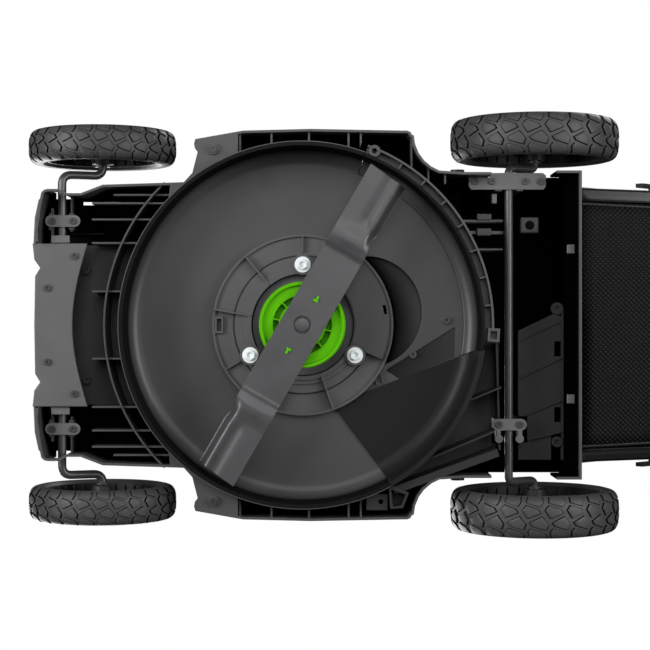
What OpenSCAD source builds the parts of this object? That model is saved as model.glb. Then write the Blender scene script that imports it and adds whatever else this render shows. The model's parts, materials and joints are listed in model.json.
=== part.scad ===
// Battery push lawn mower with a fold-down telescopic handle and a rear grass bag.
// Every module is drawn about the blade axis: +X is the operator's left, +Y the rear, +Z up, and the
// ground is at Z = 0 with the cutting height at its lowest. place() moves the whole machine so that
// the origin is the middle of its ground rectangle.

/* [Cutting chamber] */
// Inner radius of the round chamber wall
chamber_r = 211.5; // [208:0.5:214]
// Thickness of the chamber wall
rim_t = 5.5; // [4:0.5:6]
// Height of the rim above the ground at the lowest cut
rim_z = 22; // [18:1:26]
// Height of the chamber ceiling
ceiling_z = 95; // [92:1:98]
// Thickness of the moulded skin
skin = 4; // [3:0.5:5]
// Thickness of the moulded ribs
rib = 2.2; // [1.6:0.2:3]

/* [Blade and motor] */
// Length of the blade from tip to tip
blade_len = 412; // [380:2:414]
// Width of the blade
blade_w = 50; // [44:1:54]
// Thickness of the blade
blade_t = 3; // [2.5:0.5:4]
// Height of the cutting edges
cut_z = 32; // [30:1:35]
// Angle of the blade at rest, from the rear towards the operator's left
blade_rest = 60; // [0:5:180]
// Radius of the motor shaft
shaft_r = 8; // [6:0.5:9]
// Radius of the three motor bolts' circle
bolt_pcd_r = 73; // [70:0.5:76]

/* [Wheels] */
// Radius of the front wheels
front_r = 89; // [85:1:92]
// Width of the front tyres
front_w = 41; // [36:1:44]
// Radius of the rear wheels
rear_r = 102.5; // [98:0.5:105]
// Width of the rear tyres
rear_w = 50; // [44:1:50]
// Distance of the front wheels' axis ahead of the blade
front_y = 243; // [240:1:246]
// Distance of the rear wheels' axis behind the blade
rear_y = 283; // [280:1:286]
// Outer face of the front wheels, from the middle
front_x = 235; // [232:1:238]
// Outer face of the rear wheels, from the middle
rear_x = 250; // [248:1:254]
// Radius of the stub axles
stub_r = 6; // [5:0.5:7]

/* [Handle] */
// Slope of the handle above the horizontal
slope = 45; // [42:1:48]
// Distance of each handle tube from the middle
tube_x = 182; // [181:0.5:183]
// Outer radius of the lower tubes
lower_r = 14; // [13.5:0.5:14]
// Length of the lower tubes above their pivot
lower_len = 480; // [460:5:500]
// Distance of the hand bar from the pivot, fully extended
bar_s = 985; // [960:5:1000]
// Radius of the foam grip
grip_r = 15.5; // [15:0.5:16]

/* [Grass bag] */
// Length of the bag
bag_len = 430; // [400:10:450]
// Half width of the bag's rim
bag_half = 176; // [170:1:178]

/* [Hidden] */
$fn = 48;

dark = [0.10, 0.10, 0.105];
black = [0.05, 0.05, 0.055];
green = [0.30, 0.62, 0.05];
zinc = [0.75, 0.75, 0.78];
steel = [0.16, 0.16, 0.17];

rim_out = chamber_r + rim_t;
fillet_r = 16;
// roof of the discharge tunnel
roof_z = 200;
// the running gap between a moving piece and what carries it
run_gap = 0.06;
// the gap between two fixed mouldings
seam = 0.4;
// outer radius of the motor plate
plate_r = 110;

// handle pivot and the two directions that the handle's parts follow
pivot_y = 200;
pivot_z = 240;
inner_r = lower_r - 1.7;
upper_r = inner_r - 0.1;
collar_len = 46;
upper_start = 340;
bail_s = 840;
bail_len = 130;
bail_rest = 75;
console_s = 800;

// sides of the axle cranks
front_rod_y = -289;
front_rod_z = 66;
rear_rod_y = 249;
rear_rod_z = 77;
rod_r = 5;
front_arm_x = 181;
rear_arm_x = 189;

bag_y = 336;
bag_floor_z = 138;
bag_top_z = 242;

// the front wheels and the hand bar are the two ends of the machine
mid_y = ((pivot_y + bar_s * cos(slope) + grip_r) - (front_y + front_r)) / 2;

module place() {
  translate([0, -mid_y, 0]) children();
}

// turns a shape drawn along +X so that it lies at an angle from the rear towards the left
module aim(angle) {
  rotate([0, 0, 90 - angle]) children();
}

module both_sides() {
  children();
  mirror([1, 0, 0]) children();
}

// lies along the handle: local X across, local Y up the slope, local Z out of the upper side
module on_handle(s) {
  translate([0, pivot_y + s * cos(slope), pivot_z + s * sin(slope)]) rotate([slope, 0, 0]) children();
}

// straight moulded rib between two plan points, hanging from z_top down to z_low
module rib_line(a, b, z_low, z_top, t = rib) {
  d = b - a;
  translate([a.x, a.y, z_low]) rotate([0, 0, atan2(d.y, d.x)])
    translate([0, -t / 2, 0]) cube([norm(d), t, z_top - z_low]);
}

// ring sector swept about the blade axis, from one angle to another towards the left
module sector(a_from, a_to) {
  rotate([0, 0, 90 - a_to]) rotate_extrude(angle = a_to - a_from, $fn = 96) children();
}

module obround(l, w, h) {
  linear_extrude(h) {
    square([l - w, w], center = true);
    for (s = [-1, 1]) translate([s * (l - w) / 2, 0]) circle(d = w);
  }
}

function arc(cx, cy, r, a0, a1, n) =
  [for (i = [0:n]) [cx + r * cos(a0 + (a1 - a0) * i / n), cy + r * sin(a0 + (a1 - a0) * i / n)]];

// ---------------------------------------------------------------- deck mouldings

// one half of the deck's plan outline, front to rear
deck_edge = concat(
  [[0, -312], [62, -311], [70, -306], [80, -314], [112, -316], [140, -312]],
  arc(152, -301, 9, -60, 0, 3),
  [[161, -288], [156, -278], [156, -262], [166, -236], [169, -140], [180, -130]],
  arc(214, -116, 12, 220, 300, 3),
  [[230, -70], [232, 10], [230, 118]],
  arc(224, 124, 6, 0, 80, 2),
  arc(226, 178, 46, 268, 200, 5),
  [[181, 190], [181, 318], [0, 318]]
);

module deck_plan() {
  polygon(deck_edge);
  mirror([1, 0]) polygon(deck_edge);
}

// the same outline drawn in by a wall's thickness
module deck_plan_inner(t) {
  offset(delta = -t) deck_plan();
}

// wall, fillet and ceiling of the chamber as one profile, from an inner radius outwards
module chamber_profile(r_in, t, out = rim_out) {
  polygon(concat(
    [[chamber_r, rim_z], [out, rim_z], [out, ceiling_z + t], [r_in, ceiling_z + t], [r_in, ceiling_z]],
    arc(chamber_r - fillet_r, ceiling_z - fillet_r, fillet_r, 90, 0, 6)
  ));
}

insert_out = 226;
insert_from = -13;
insert_to = 70;
plug_from = -58;

// pocket in the ceiling beside the motor plate
pocket_at = [16, 77];
pocket_r = 68;
pocket_z = 104;

module pocket_plan(grow) {
  difference() {
    translate(pocket_at) circle(r = pocket_r + grow, $fn = 72);
    circle(r = 100 - grow, $fn = 96);
  }
}

// the straight joints on both sides of the mulching plug, drawn out by a gap
joint_rear = [[-83.9, 69.5], [-22.1, 233]];
joint_side = [[-103.2, 41.1], [-226.9, 133.4]];

module plug_plan(gap) {
  offset(delta = gap) polygon([joint_rear[0], joint_rear[1], [-150, 260], joint_side[1], joint_side[0]]);
}

module deck_shell() place() color(dark) {
  // chamber wall with its fillet, where the deck itself forms it
  difference() {
    sector(insert_to, 360 + plug_from) chamber_profile(186, skin - 0.4);
    translate([0, 0, rim_z - 1]) linear_extrude(ceiling_z - rim_z + 0.9) plug_plan(seam);
  }
  // whole round ceiling up to the fillet, with its pocket and the ramp towards the plug
  difference() {
    rotate_extrude($fn = 96) translate([84, ceiling_z]) square([chamber_r - fillet_r - 84, skin]);
    translate([0, 0, ceiling_z - 1]) linear_extrude(skin + 2) pocket_plan(0);
    translate([0, 0, ceiling_z - 1]) linear_extrude(2.6)
      polygon([[-55, 101], [-2, 186], [-39.5, 185], [-66, 118]]);
  }
  translate([0, 0, ceiling_z + 0.5]) linear_extrude(pocket_z - ceiling_z) difference() {
    pocket_plan(3);
    pocket_plan(0);
  }
  translate([0, 0, pocket_z]) linear_extrude(3) pocket_plan(3);
  // two bosses in the ceiling and the short ribs that end against the motor plate
  for (p = [[-36, 134], [5.7, 175]]) translate([p.x, p.y, 91]) difference() {
    cylinder(r = 4.6, h = 6);
    translate([0, 0, -1]) cylinder(r = 2, h = 4);
  }
  difference() {
    for (t = [14, 22, 30])
      rib_line([-81 + 0.353 * t, 70 + 0.935 * t], [-70 + 0.353 * t, 66 + 0.935 * t], 90, ceiling_z + 0.1, 1.6);
    translate([0, 0, 80]) cylinder(r = plate_r + seam, h = 30, $fn = 96);
  }
  difference() {
    union() {
      // upper skin outside the chamber: low at the front and the wings, high over the rear rod
      translate([0, 0, ceiling_z]) linear_extrude(skin) difference() {
        deck_plan();
        circle(r = rim_out - 1, $fn = 96);
        translate([-174, 193]) square([348, 130]);
      }
      // outer skirt
      difference() {
        translate([0, 0, 34]) linear_extrude(ceiling_z - 34) difference() {
          deck_plan();
          deck_plan_inner(3);
          circle(r = rim_out - 1, $fn = 96);
          translate([-200, 300]) square([400, 40]);
        }
        // seat of the front cover
        translate([-98.4, -330, 30]) cube([196.8, 80, 19.4]);
      }
      // raised tunnel over the rear rod
      translate([0, 0, ceiling_z]) linear_extrude(roof_z - ceiling_z) difference() {
        translate([-181, 187]) square([362, 131]);
        translate([-178, 190]) square([356, 129]);
      }
      translate([-181, 187, roof_z]) cube([362, 131, 3]);
    }
    // the rear wheels' arms swing through the sides of the tunnel
    both_sides() {
      translate([184, rear_rod_y + 20, 70]) cube([30, 90, 80], center = true);
      // slots of the front arms
      translate([front_arm_x - 27.5, front_rod_y - 12, 45]) cube([62.5, 28, 54]);
    }
    // long slot in the left corner, and the slots of the height link's lugs
    translate([146, -268, 90]) cube([4, 46, 12]);
    translate([link_x - 6, front_rod_y - 8, 90]) cube([12, 56, 12]);
    translate([link_x + 2, 180, 99]) cube([12, 16, 14]);
    // openings for the discharge chute
    translate([-164, 180, 80]) cube([184, 18, 114]);
    translate([0, 0, 60]) linear_extrude(34.9)
      polygon([[-30, 196], [-170, 130], [-200, 150], [-30, 250]]);
  }
  // arc rib in front of the chamber and the cells between
  difference() {
    union() {
      sector(134, 226) translate([234, 40]) square([rib, ceiling_z - 39.9]);
      both_sides() {
        for (x = [144.8, 125.5, 97.5, 40]) rib_line([x, -250], [x, -150], 44, ceiling_z + 0.1);
        rib_line([110, -277], [155, -277], 62, ceiling_z + 0.1);
        rib_line([155, -225], [155, -150], 48, ceiling_z + 0.1);
      }
    }
    translate([0, 0, 30]) cylinder(r = rim_out - 1, h = 80, $fn = 96);
    both_sides() translate([100, front_rod_y - 8, 40]) cube([80, 16, 70]);
    translate([link_x - 6, front_rod_y - 8, 50]) cube([12, 56, 60]);
  }
  // saddles over the front rod
  both_sides() for (y = [front_rod_y - 12, front_rod_y + 12])
    translate([114, y - 3, front_rod_z - 5]) cube([20, 6, ceiling_z - front_rod_z + 5.1]);
  // wing cells
  difference() {
    intersection() {
      both_sides() {
        for (y = [-74, -36.5, 8, 55, 69.5]) rib_line([190, y], [229, y], 40, ceiling_z + 0.1);
        for (y = [130, 150, 170]) rib_line([168, y], [222, y], 46, ceiling_z + 0.1);
      }
      translate([0, 0, 30]) linear_extrude(80) deck_plan_inner(1);
    }
    translate([0, 0, 30]) cylinder(r = rim_out - 1, h = 80, $fn = 96);
    sector(insert_from - 2, insert_to + 2) translate([150, 30]) square([insert_out - 149, 64.9]);
    translate([-240, 100, 20]) cube([115, 90, 74.9]);
  }
  // closed corner plates of the wings with their screw bosses
  difference() {
    both_sides() union() {
      translate([0, 0, 34]) linear_extrude(3) polygon(concat(
        [[150, -158], [167, -156], [168, -140], [179, -128]], arc(214, -116, 9, 220, 300, 2),
        [[227, -76], [195, -76]]));
      translate([208, -105, 30]) cylinder(r = 6.5, h = 10);
    }
    translate([0, 0, 30]) cylinder(r = rim_out - 0.5, h = 80, $fn = 96);
    both_sides() translate([208, -105, 25]) cylinder(r = 2.1, h = 20);
  }
  // screw bosses behind the front cover
  both_sides() translate([66.8, -263, 89]) difference() {
    cylinder(r = 5, h = 6.1);
    translate([0, 0, -1]) cylinder(r = 2, h = 4);
  }
  // front cross wall behind the front cover
  rib_line([-140, -300], [140, -300], 61.5, ceiling_z + 0.1, 3);
}

// depth of the ladder strip round the insert
ladder_h = 18;

module deck_insert() place() color(dark) {
  difference() {
    union() {
      difference() {
        sector(insert_from, insert_to - 0.2) chamber_profile(195.5, 3, chamber_r + 3.5);
        translate([0, 0, rim_z - 1]) linear_extrude(90) plug_plan(seam);
      }
      // ladder outside the wall
      sector(-5, insert_to - 0.2) translate([insert_out - 2.4, rim_z + 1]) square([2.4, ladder_h]);
      sector(-5, insert_to - 0.2) translate([214, rim_z + ladder_h - 2]) square([12, 3]);
      for (a = [6:8.7:60]) aim(a) translate([214, -0.9, rim_z + 2]) cube([10.5, 1.8, ladder_h - 3]);
      aim(67.4) translate([222, 0, rim_z + 2]) cylinder(r = 7, h = 40);
      aim(-3) translate([226, 0, rim_z + 24]) cube([14, 16, 44], center = true);
    }
    // the ceiling belongs to the deck
    translate([0, 0, ceiling_z]) cylinder(r = 300, h = 20);
    aim(67.4) translate([222, 0, rim_z - 2]) cylinder(r = 3, h = 20);
    aim(-3) translate([226, 0, rim_z + 4]) cube([8, 9, 14], center = true);
    sector(insert_to - 0.1, insert_to + 20) translate([150, 0]) square([100, 100]);
  }
}

plug_top_z = ceiling_z - seam;

module mulch_plug() place() color(dark) intersection() {
  sector(plug_from - 12, insert_from + 9) polygon(concat(
    [[chamber_r, rim_z], [rim_out, rim_z], [rim_out, plug_top_z], [111, plug_top_z],
     [111, plug_top_z - 3], [chamber_r - 22, plug_top_z - 3]],
    arc(chamber_r - 22, plug_top_z - 25, 22, 90, 0, 6)));
  translate([0, 0, rim_z - 1]) linear_extrude(80) plug_plan(0);
}

chute_z = 84;

module bracket_room() {
  translate([-143, 229, 50]) cube([32, 44, 60]);
}

module discharge_chute() place() color(dark) {
  // hollow under the chute between the chamber and the rear rod
  difference() {
    union() {
      translate([0, 0, chute_z]) linear_extrude(3)
        polygon([[-2, 214], [-10, 238], [-150, 238], [-190, 116], [-150, 160], [-90, 200]]);
      rib_line([-89, 200], [-74, 236], 40, chute_z);
      rib_line([-157, 154], [-126, 228], 36, chute_z);
      rib_line([-196, 108], [-151, 232], 34, chute_z, 9);
      rib_line([-22, 232], [-150, 236], 56, chute_z, 2.2);
      // pocketed corner post
      difference() {
        translate([0, 0, 28]) linear_extrude(50)
          polygon([[-188, 102], [-217, 104], [-216, 119], [-198, 126]]);
        translate([0, 0, 20]) linear_extrude(30)
          polygon([[-194, 105], [-214, 107], [-213, 117], [-200, 122.5]]);
      }
      translate([-210, 89, 34]) difference() {
        translate([-9, -13, 0]) cube([19, 25, 3]);
        translate([1, 4, -1]) cylinder(r = 3, h = 6);
      }
    }
    translate([0, 0, 10]) cylinder(r = rim_out + 1.2, h = 100, $fn = 96);
    // room for the right-hand bracket and for the deck's skirt
    bracket_room();
    translate([0, 0, 20]) linear_extrude(80) difference() {
      translate([-250, 90]) square([100, 160]);
      deck_plan_inner(3.4);
    }
  }
  // floor of the rear tunnel with its lugs and hinge notches
  difference() {
    union() {
      translate([0, 0, 90]) linear_extrude(3) difference() {
        polygon([[-7, 262], [14, 306], [10, 314], [-130, 314], [-134, 302], [-164, 302], [-164, 262]]);
        translate([-38, 306]) square([18, 9]);
        translate([-118, 306]) square([18, 9]);
      }
      translate([20, 309, 88]) cylinder(r = 7.5, h = 6);
      translate([-142, 309, 88]) cylinder(r = 6.5, h = 6);
      rib_line([-66, 262], [-40, 314], 87, 90.1, 1.8);
      rib_line([-113, 262], [-92, 314], 87, 90.1, 1.8);
      rib_line([-20, 262], [4, 312], 87.5, 90.1, 1.8);
      rib_line([-141, 268], [-130, 314], 86, 90.1, 1.8);
    }
    translate([20, 309, 80]) cylinder(r = 3, h = 11);
    translate([-142, 309, 80]) cylinder(r = 3, h = 11);
    bracket_room();
  }
  // closing wall between the tunnel floor and the rear
  translate([-164, 314.2, 90]) cube([186, 3, 7]);
}

cover_inner_edge = [for (i = [0:8]) [97 - i * 97 / 8, -256 - 18 * sin(i * 90 / 8)]];
cover_front_edge = [[0, -319], [58, -318], [68, -312], [78, -319], [97, -321]];

module front_cover() place() color(dark) {
  difference() {
    union() {
      translate([0, 0, 46]) linear_extrude(3) {
        polygon(concat(cover_inner_edge, cover_front_edge));
        mirror([1, 0]) polygon(concat(cover_inner_edge, cover_front_edge));
      }
      // turned-up front lip
      translate([0, 0, 46]) linear_extrude(34) both_sides() polygon([[0, -319], [58, -318],
        [68, -312], [78, -319], [97, -321], [97, -317.5], [79, -315.8], [69, -308.8], [57, -314.8], [0, -315.8]]);
      // outer lobes of the bumper
      translate([0, 0, 52]) linear_extrude(28) both_sides() polygon([[97, -321], [128, -319.5],
        [149, -315], [152, -312.4], [149, -311.8], [126, -316], [97, -317.5]]);
    }
    for (p = [[82, -271], [44, -303]], s = [-1, 1]) translate([s * p.x, p.y, 40]) cylinder(r = 2.2, h = 12);
  }
}

module motor_plate() place() color(dark) {
  difference() {
    union() {
      rotate_extrude($fn = 96) polygon([[62, 99], [62, 78], [67, 78], [67, 81], [72, 81], [72, 84],
        [82.6, 84], [82.6, 91], [84.6, 91], [84.6, 88], [107, 88], [107, 84.5], [plate_r, 84.5],
        [plate_r, 94.8], [83.6, 94.8], [83.6, 99]]);
      for (a = [90, 210, 330]) aim(a) translate([bolt_pcd_r, 0, 76]) cylinder(r = 12.5, h = 12);
      // long and short ribs, and the frame of the left-hand slot
      for (a = [130, 170, 250, 290]) aim(a) translate([63, -1, 77.2]) cube([45, 2, 11]);
      for (a = [90, 210]) aim(a) translate([88, -1, 83]) cube([20, 2, 6]);
      aim(180) translate([101.5, 0, 86]) cube([10, 20, 5], center = true);
    }
    for (a = [90, 210, 330]) aim(a) translate([bolt_pcd_r, 0, 70]) cylinder(r = 4.3, h = 40);
    // slots of two locating tongues
    aim(180) translate([101.5, 0, 84]) cube([5.6, 15, 30], center = true);
    aim(10.6) translate([102, 0, 84]) cube([4, 11, 30], center = true);
  }
}

module plate_cover() place() color(black) {
  difference() {
    sector(-23.5, 50) polygon([[63.5, 75.4], [104, 75.4], [106.4, 77.8], [106.4, 87.8], [104, 87.8],
      [104, 77.8], [63.5, 77.8]]);
    aim(10.6) translate([101, 0, 80]) cube([3.8, 11, 20], center = true);
    aim(-30) translate([bolt_pcd_r, 0, 70]) cylinder(r = 13, h = 40);
  }
}

module rear_plate() place() color(dark) difference() {
  union() {
    // ears of the door's hinge
    both_sides() translate([151, 316, 226]) cube([4, 12, 34]);
    translate([-182, 318.4, 84]) cube([364, 3, 156]);
    // apron that hangs behind it, with cheeks forward to the deck's skirt
    translate([-182, 318.4, 84]) cube([364, 11, 3]);
    translate([-182, 326.4, 24]) cube([364, 3, 61]);
    both_sides() translate([179, 300.2, 24]) cube([3, 29, 61]);
    // shelves above the corners of the mouth
    both_sides() translate([144, 318.4, 196]) cube([38, 17, 3]);
  }
  // mouth of the discharge tunnel
  translate([-150, 300, 98]) cube([300, 40, 98]);
  // latch holes of the bag's hooks
  both_sides() translate([165, 310, 212]) cube([14, 30, 8], center = true);
  translate([-160, door_y, door_z]) rotate([0, 90, 0]) cylinder(r = 3 + run_gap, h = 320);
}

// ---------------------------------------------------------------- brackets and fasteners

module front_brackets() place() color(dark) both_sides() translate([124.5, front_rod_y + 2, front_rod_z - 8.2]) {
  difference() {
    rotate([0, 0, 90]) obround(42, 14, 2.6);
    for (s = [-1, 1]) translate([0, s * 12.4, -1]) cylinder(r = 2.1, h = 5);
  }
}

module rear_brackets() place() color(dark) {
  // long plate on the left
  translate([0, 0, rear_rod_z - 8.4]) {
    difference() {
      linear_extrude(2.8) polygon([[163, 203], [167, 200], [177.6, 200], [177.6, 225], [183, 225], [183, 289],
        [180, 293], [167, 293], [163, 290]]);
      for (y = [208, 228, 268, 286]) translate([173, y, -1]) cylinder(r = 2.1, h = 5);
    }
  }
  // short plate and clamp on the right
  translate([-120, rear_rod_y, rear_rod_z - 8.4]) {
    difference() {
      rotate([0, 0, 90]) obround(42, 14, 2.8);
      for (s = [-1, 1]) translate([0, s * 12.4, -1]) cylinder(r = 2.1, h = 5);
    }
    for (s = [-1, 1]) translate([-16, s * 13 - 2.5, 0]) cube([13, 5, 20]);
    for (s = [-1, 1]) translate([-17, s * 12.5, 0]) cylinder(r = 5, h = 6);
  }
  // saddles that hang from the tunnel above the rod
  for (x = [161.6, -126]) for (s = [-1, 1])
    translate([x, rear_rod_y + s * 12.5 - 4, rear_rod_z - 5.6]) cube([12, 8, roof_z - rear_rod_z + 5.6]);
}

module screw(h = 3) {
  translate([0, 0, -2.4]) difference() {
    cylinder(r = 4.2, h = 2.4);
    translate([0, 0, -1]) cylinder(r = 1.6, h = 2.4, $fn = 6);
  }
  cylinder(r = 1.9, h = h + 5);
}

module cover_screws() place() color(zinc) {
  for (p = [[82, -271], [44, -303]], s = [-1, 1]) translate([s * p.x, p.y, 46]) screw(3);
  both_sides() translate([208, -105, 30]) screw(8);
  both_sides() for (s = [-1, 1])
    translate([124.5, front_rod_y + 2 + s * 12.4, front_rod_z - 8.2]) screw(-2);
  for (y = [208, 228, 268, 286]) translate([173, y, rear_rod_z - 8.4]) screw(-1.8);
  for (s = [-1, 1]) translate([-120, rear_rod_y + s * 12.4, rear_rod_z - 8.4]) screw(-2.3);
}

module motor_bolts() place() color(zinc) for (a = [90, 210, 330]) aim(a) translate([bolt_pcd_r, 0, 0]) {
  difference() {
    union() {
      translate([0, 0, 74.2]) cylinder(r = 9.7, h = 1.8);
      translate([0, 0, 69.5]) cylinder(r = 6.2, h = 5, $fn = 6);
    }
    translate([0, 0, 68]) cylinder(r = 3.4, h = 3.4);
  }
  translate([0, 0, 76]) cylinder(r = 4, h = 26);
}

// ---------------------------------------------------------------- upper mouldings

// plan slice of the upper cover at one height
module cover_slice(z, half_front, half_mid, half_rear, y_front, y_rear, h = 1) {
  translate([0, 0, z]) linear_extrude(h) hull() {
    both_sides() {
      translate([half_front - 30, y_front + 30]) circle(r = 30, $fn = 32);
      translate([half_mid - 40, -60]) circle(r = 40, $fn = 32);
      translate([half_mid - 40, 70]) circle(r = 40, $fn = 32);
      translate([half_rear - 16, y_rear - 16]) circle(r = 16, $fn = 32);
    }
  }
}

module top_cover() place() color(dark) difference() {
  union() {
    hull() {
      cover_slice(99.4, 134, 196, 160, -306, 186);
      cover_slice(128, 128, 190, 158, -298, 186);
      cover_slice(158, 100, 156, 150, -236, 184);
    }
  }
  hull() {
    cover_slice(99, 130, 192, 156, -302, 182);
    cover_slice(126, 124, 186, 154, -294, 182);
    cover_slice(154.5, 96, 152, 146, -232, 180);
  }
  translate([link_x + 2, 170, 99]) cube([12, 26, 14]);
  // opening under the motor cover and the pocket of the battery bay
  translate([0, 0, 150]) cylinder(r = 98, h = 20, $fn = 72);
  translate([-54, 84, 150]) cube([108, 84, 20]);
}

module motor_cover() place() color(black) difference() {
  rotate_extrude($fn = 72) polygon(concat([[97.6, 150.4], [97.6, 168]],
    [for (i = [0:8]) [97.6 - 22 + 22 * cos(i * 11.25), 200 + 26 * sin(i * 11.25)]],
    [[30, 230], [0, 231], [0, 228], [30, 227]],
    [for (i = [8:-1:0]) [94.6 - 21 + 21 * cos(i * 11.25), 199 + 24.5 * sin(i * 11.25)]],
    [[94.6, 150.4]]));
  // cooling slots round the shoulder
  for (i = [0:11]) rotate([0, 0, i * 30 + 15]) translate([80, -3, 170]) cube([30, 6, 22]);
  // the battery bay stands against its rear side
  translate([-56, 82, 140]) cube([112, 60, 100]);
}

module cover_trim() place() color(green) {
  // bright ring that stands on the upper cover round the motor cover
  difference() {
    rotate_extrude($fn = 72) polygon([[98.6, 159.4], [104, 159.4], [103, 163], [98.6, 164]]);
    translate([-57, 40, 150]) cube([114, 80, 30]);
  }
}

module motor_stator() place() color(steel) {
  difference() {
    translate([0, 0, 92]) cylinder(r = 61, h = 60, $fn = 72);
    translate([0, 0, 97]) cylinder(r = 49, h = 50, $fn = 72);
    translate([0, 0, 80]) cylinder(r = 14.02, h = 90);
  }
  for (a = [0:30:330]) rotate([0, 0, a]) translate([48, -3, 104]) cube([3, 6, 34]);
}

module motor_bearings() place() color(zinc) for (z = [92, 143]) translate([0, 0, z]) difference() {
  cylinder(r = 14, h = 8);
  translate([0, 0, -1]) cylinder(r = shaft_r + run_gap, h = 10);
}

module controller() place() color(black) {
  translate([-60, -190, 99.4]) difference() {
    cube([120, 70, 36]);
    for (i = [0:6]) translate([8 + i * 15.5, -1, 30]) cube([8, 72, 7]);
  }
}

module battery_bay() place() color(black) difference() {
  translate([-53, 85, 107.4]) cube([106, 82, 108]);
  translate([-46, 92, 112]) cube([92, 68, 110]);
  // slot of the safety key
  translate([49.8, 118, 196]) cube([2, 22, 22]);
}

module handle_brackets() place() color(steel) both_sides() {
  difference() {
    union() {
      rotate([90, 0, 90]) translate([0, 0, 160]) linear_extrude(4) hull() {
        translate([pivot_y, pivot_z]) circle(r = 20, $fn = 32);
        translate([190, roof_z + 3]) square([56, 2]);
        translate([236, 252]) circle(r = 8, $fn = 32);
      }
      translate([148, 190, roof_z + 3]) cube([16, 56, 3]);
      // stop that carries the raised handle
      on_handle(40) translate([164 - 0.1, -6, -lower_r - 10.4]) cube([26, 12, 10]);
    }
    translate([150, pivot_y, pivot_z]) rotate([0, 90, 0]) cylinder(r = 4, h = 30);
  }
}

module handle_bolts() place() color(zinc) both_sides() translate([0, pivot_y, pivot_z]) rotate([0, 90, 0]) {
  translate([0, 0, 157]) cylinder(r = 4, h = 43);
  translate([0, 0, 155]) cylinder(r = 7, h = 4.9, $fn = 6);
  translate([0, 0, 197.5]) cylinder(r = 9, h = 5);
}

// the bar that joins the two cranks runs beside their lugs
link_x = 106;

lever_y = 72;
lever_z = 118;
lever_x = 212;

module height_quadrant() place() color(steel) translate([lever_x - 9, lever_y, 0]) {
  difference() {
    rotate([90, 0, 90]) linear_extrude(3) {
      intersection() {
        difference() {
          translate([0, lever_z]) circle(r = 64);
          translate([0, lever_z]) circle(r = 50);
        }
        translate([-60, lever_z + 12]) square([100, 70]);
      }
      translate([-62, 99.4]) square([124, 10]);
      translate([-60, 99.4]) square([14, 40]);
      translate([38, 99.4]) square([14, 50]);
      translate([0, lever_z]) circle(r = 10);
      translate([-10, 99.4]) square([20, 16]);
    }
    for (i = [0:5]) translate([-1, 0, lever_z]) rotate([52 - i * 11.5, 0, 0])
      translate([0, -2.4, 58]) cube([5, 4.8, 8]);
  }
  // pivot stud of the lever
  translate([2.9, 0, lever_z]) rotate([0, 90, 0]) cylinder(r = 4, h = 13);
}

// ---------------------------------------------------------------- axles and wheels

// bent rod: across the deck, trailing arms at both ends, stub axles outwards
module crank(rod_y, rod_z, arm_x, axle_y, axle_z, stub_end) {
  dy = axle_y - rod_y;
  dz = axle_z - rod_z;
  arm = norm([dy, dz]);
  translate([-arm_x, rod_y, rod_z]) rotate([0, 90, 0]) cylinder(r = rod_r, h = 2 * arm_x);
  both_sides() {
    translate([arm_x, rod_y, rod_z]) {
      sphere(r = rod_r);
      rotate([-atan2(dy, dz), 0, 0]) cylinder(r = rod_r, h = arm);
    }
    translate([arm_x, axle_y, axle_z]) {
      sphere(r = stub_r);
      rotate([0, 90, 0]) cylinder(r = stub_r, h = stub_end - arm_x);
    }
  }
}

module front_axle() place() color(steel) {
  crank(front_rod_y, front_rod_z, front_arm_x, -front_y, front_r, front_x - 8);
  translate([link_x, front_rod_y, front_rod_z]) cylinder(r = 3.5, h = 35);
}

module rear_axle() place() color(steel) {
  crank(rear_rod_y, rear_rod_z, rear_arm_x, rear_y, rear_r, rear_x - 10);
  translate([link_x, rear_rod_y, rear_rod_z]) cylinder(r = 3.5, h = 30);
}

module clips(axle_y, axle_z, inner_x, outer_x) both_sides() for (x = [inner_x, outer_x])
  translate([x, axle_y, axle_z]) rotate([0, 90, 0]) difference() {
    cylinder(r = 9.5, h = 1.6);
    translate([0, 0, -1]) cylinder(r = stub_r, h = 4);
  }

module front_clips() place() color(zinc) clips(-front_y, front_r, front_x - front_w - 2.2, front_x - 12);
module rear_clips() place() color(zinc) clips(rear_y, rear_r, rear_x - rear_w - 2.2, rear_x - 12);

// half profile of a tyre: [radius, distance from its middle plane]
function tyre_outline(r, w, n = 12) = [
  for (i = [0:n]) let (t = -1 + 2 * i / n)
    [r - 15 + 15 * pow(1 - pow(abs(t), 3), 1 / 3), t * w / 2]
];

bead = 21;

module tyre(r, w) rotate([0, 90, 0]) rotate_extrude($fn = 96)
  polygon(concat([[r - bead, -w / 2 + 4]], tyre_outline(r, w), [[r - bead, w / 2 - 4]]));

// the rim's disc lies towards the outer face (+X)
module rim(r, w) rotate([0, 90, 0]) {
  rotate_extrude($fn = 96) polygon([[r - bead, -w / 2 + 4], [r - bead, w / 2 - 4],
    [r - bead - 3.5, w / 2 - 4], [r - bead - 3.5, w / 2 - 14], [15, w / 2 - 16], [15, w / 2 - 12],
    [stub_r + run_gap, w / 2 - 12.6], [stub_r + run_gap, -w / 2 + 1], [13, -w / 2 + 1],
    [15, w / 2 - 20], [r - bead - 3.5, w / 2 - 18], [r - bead - 3.5, -w / 2 + 4]]);
  for (a = [0:45:315]) rotate([0, 0, a]) translate([14, -1.2, -w / 2 + 12])
    cube([r - bead - 16, 2.4, w - 30]);
}

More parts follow.
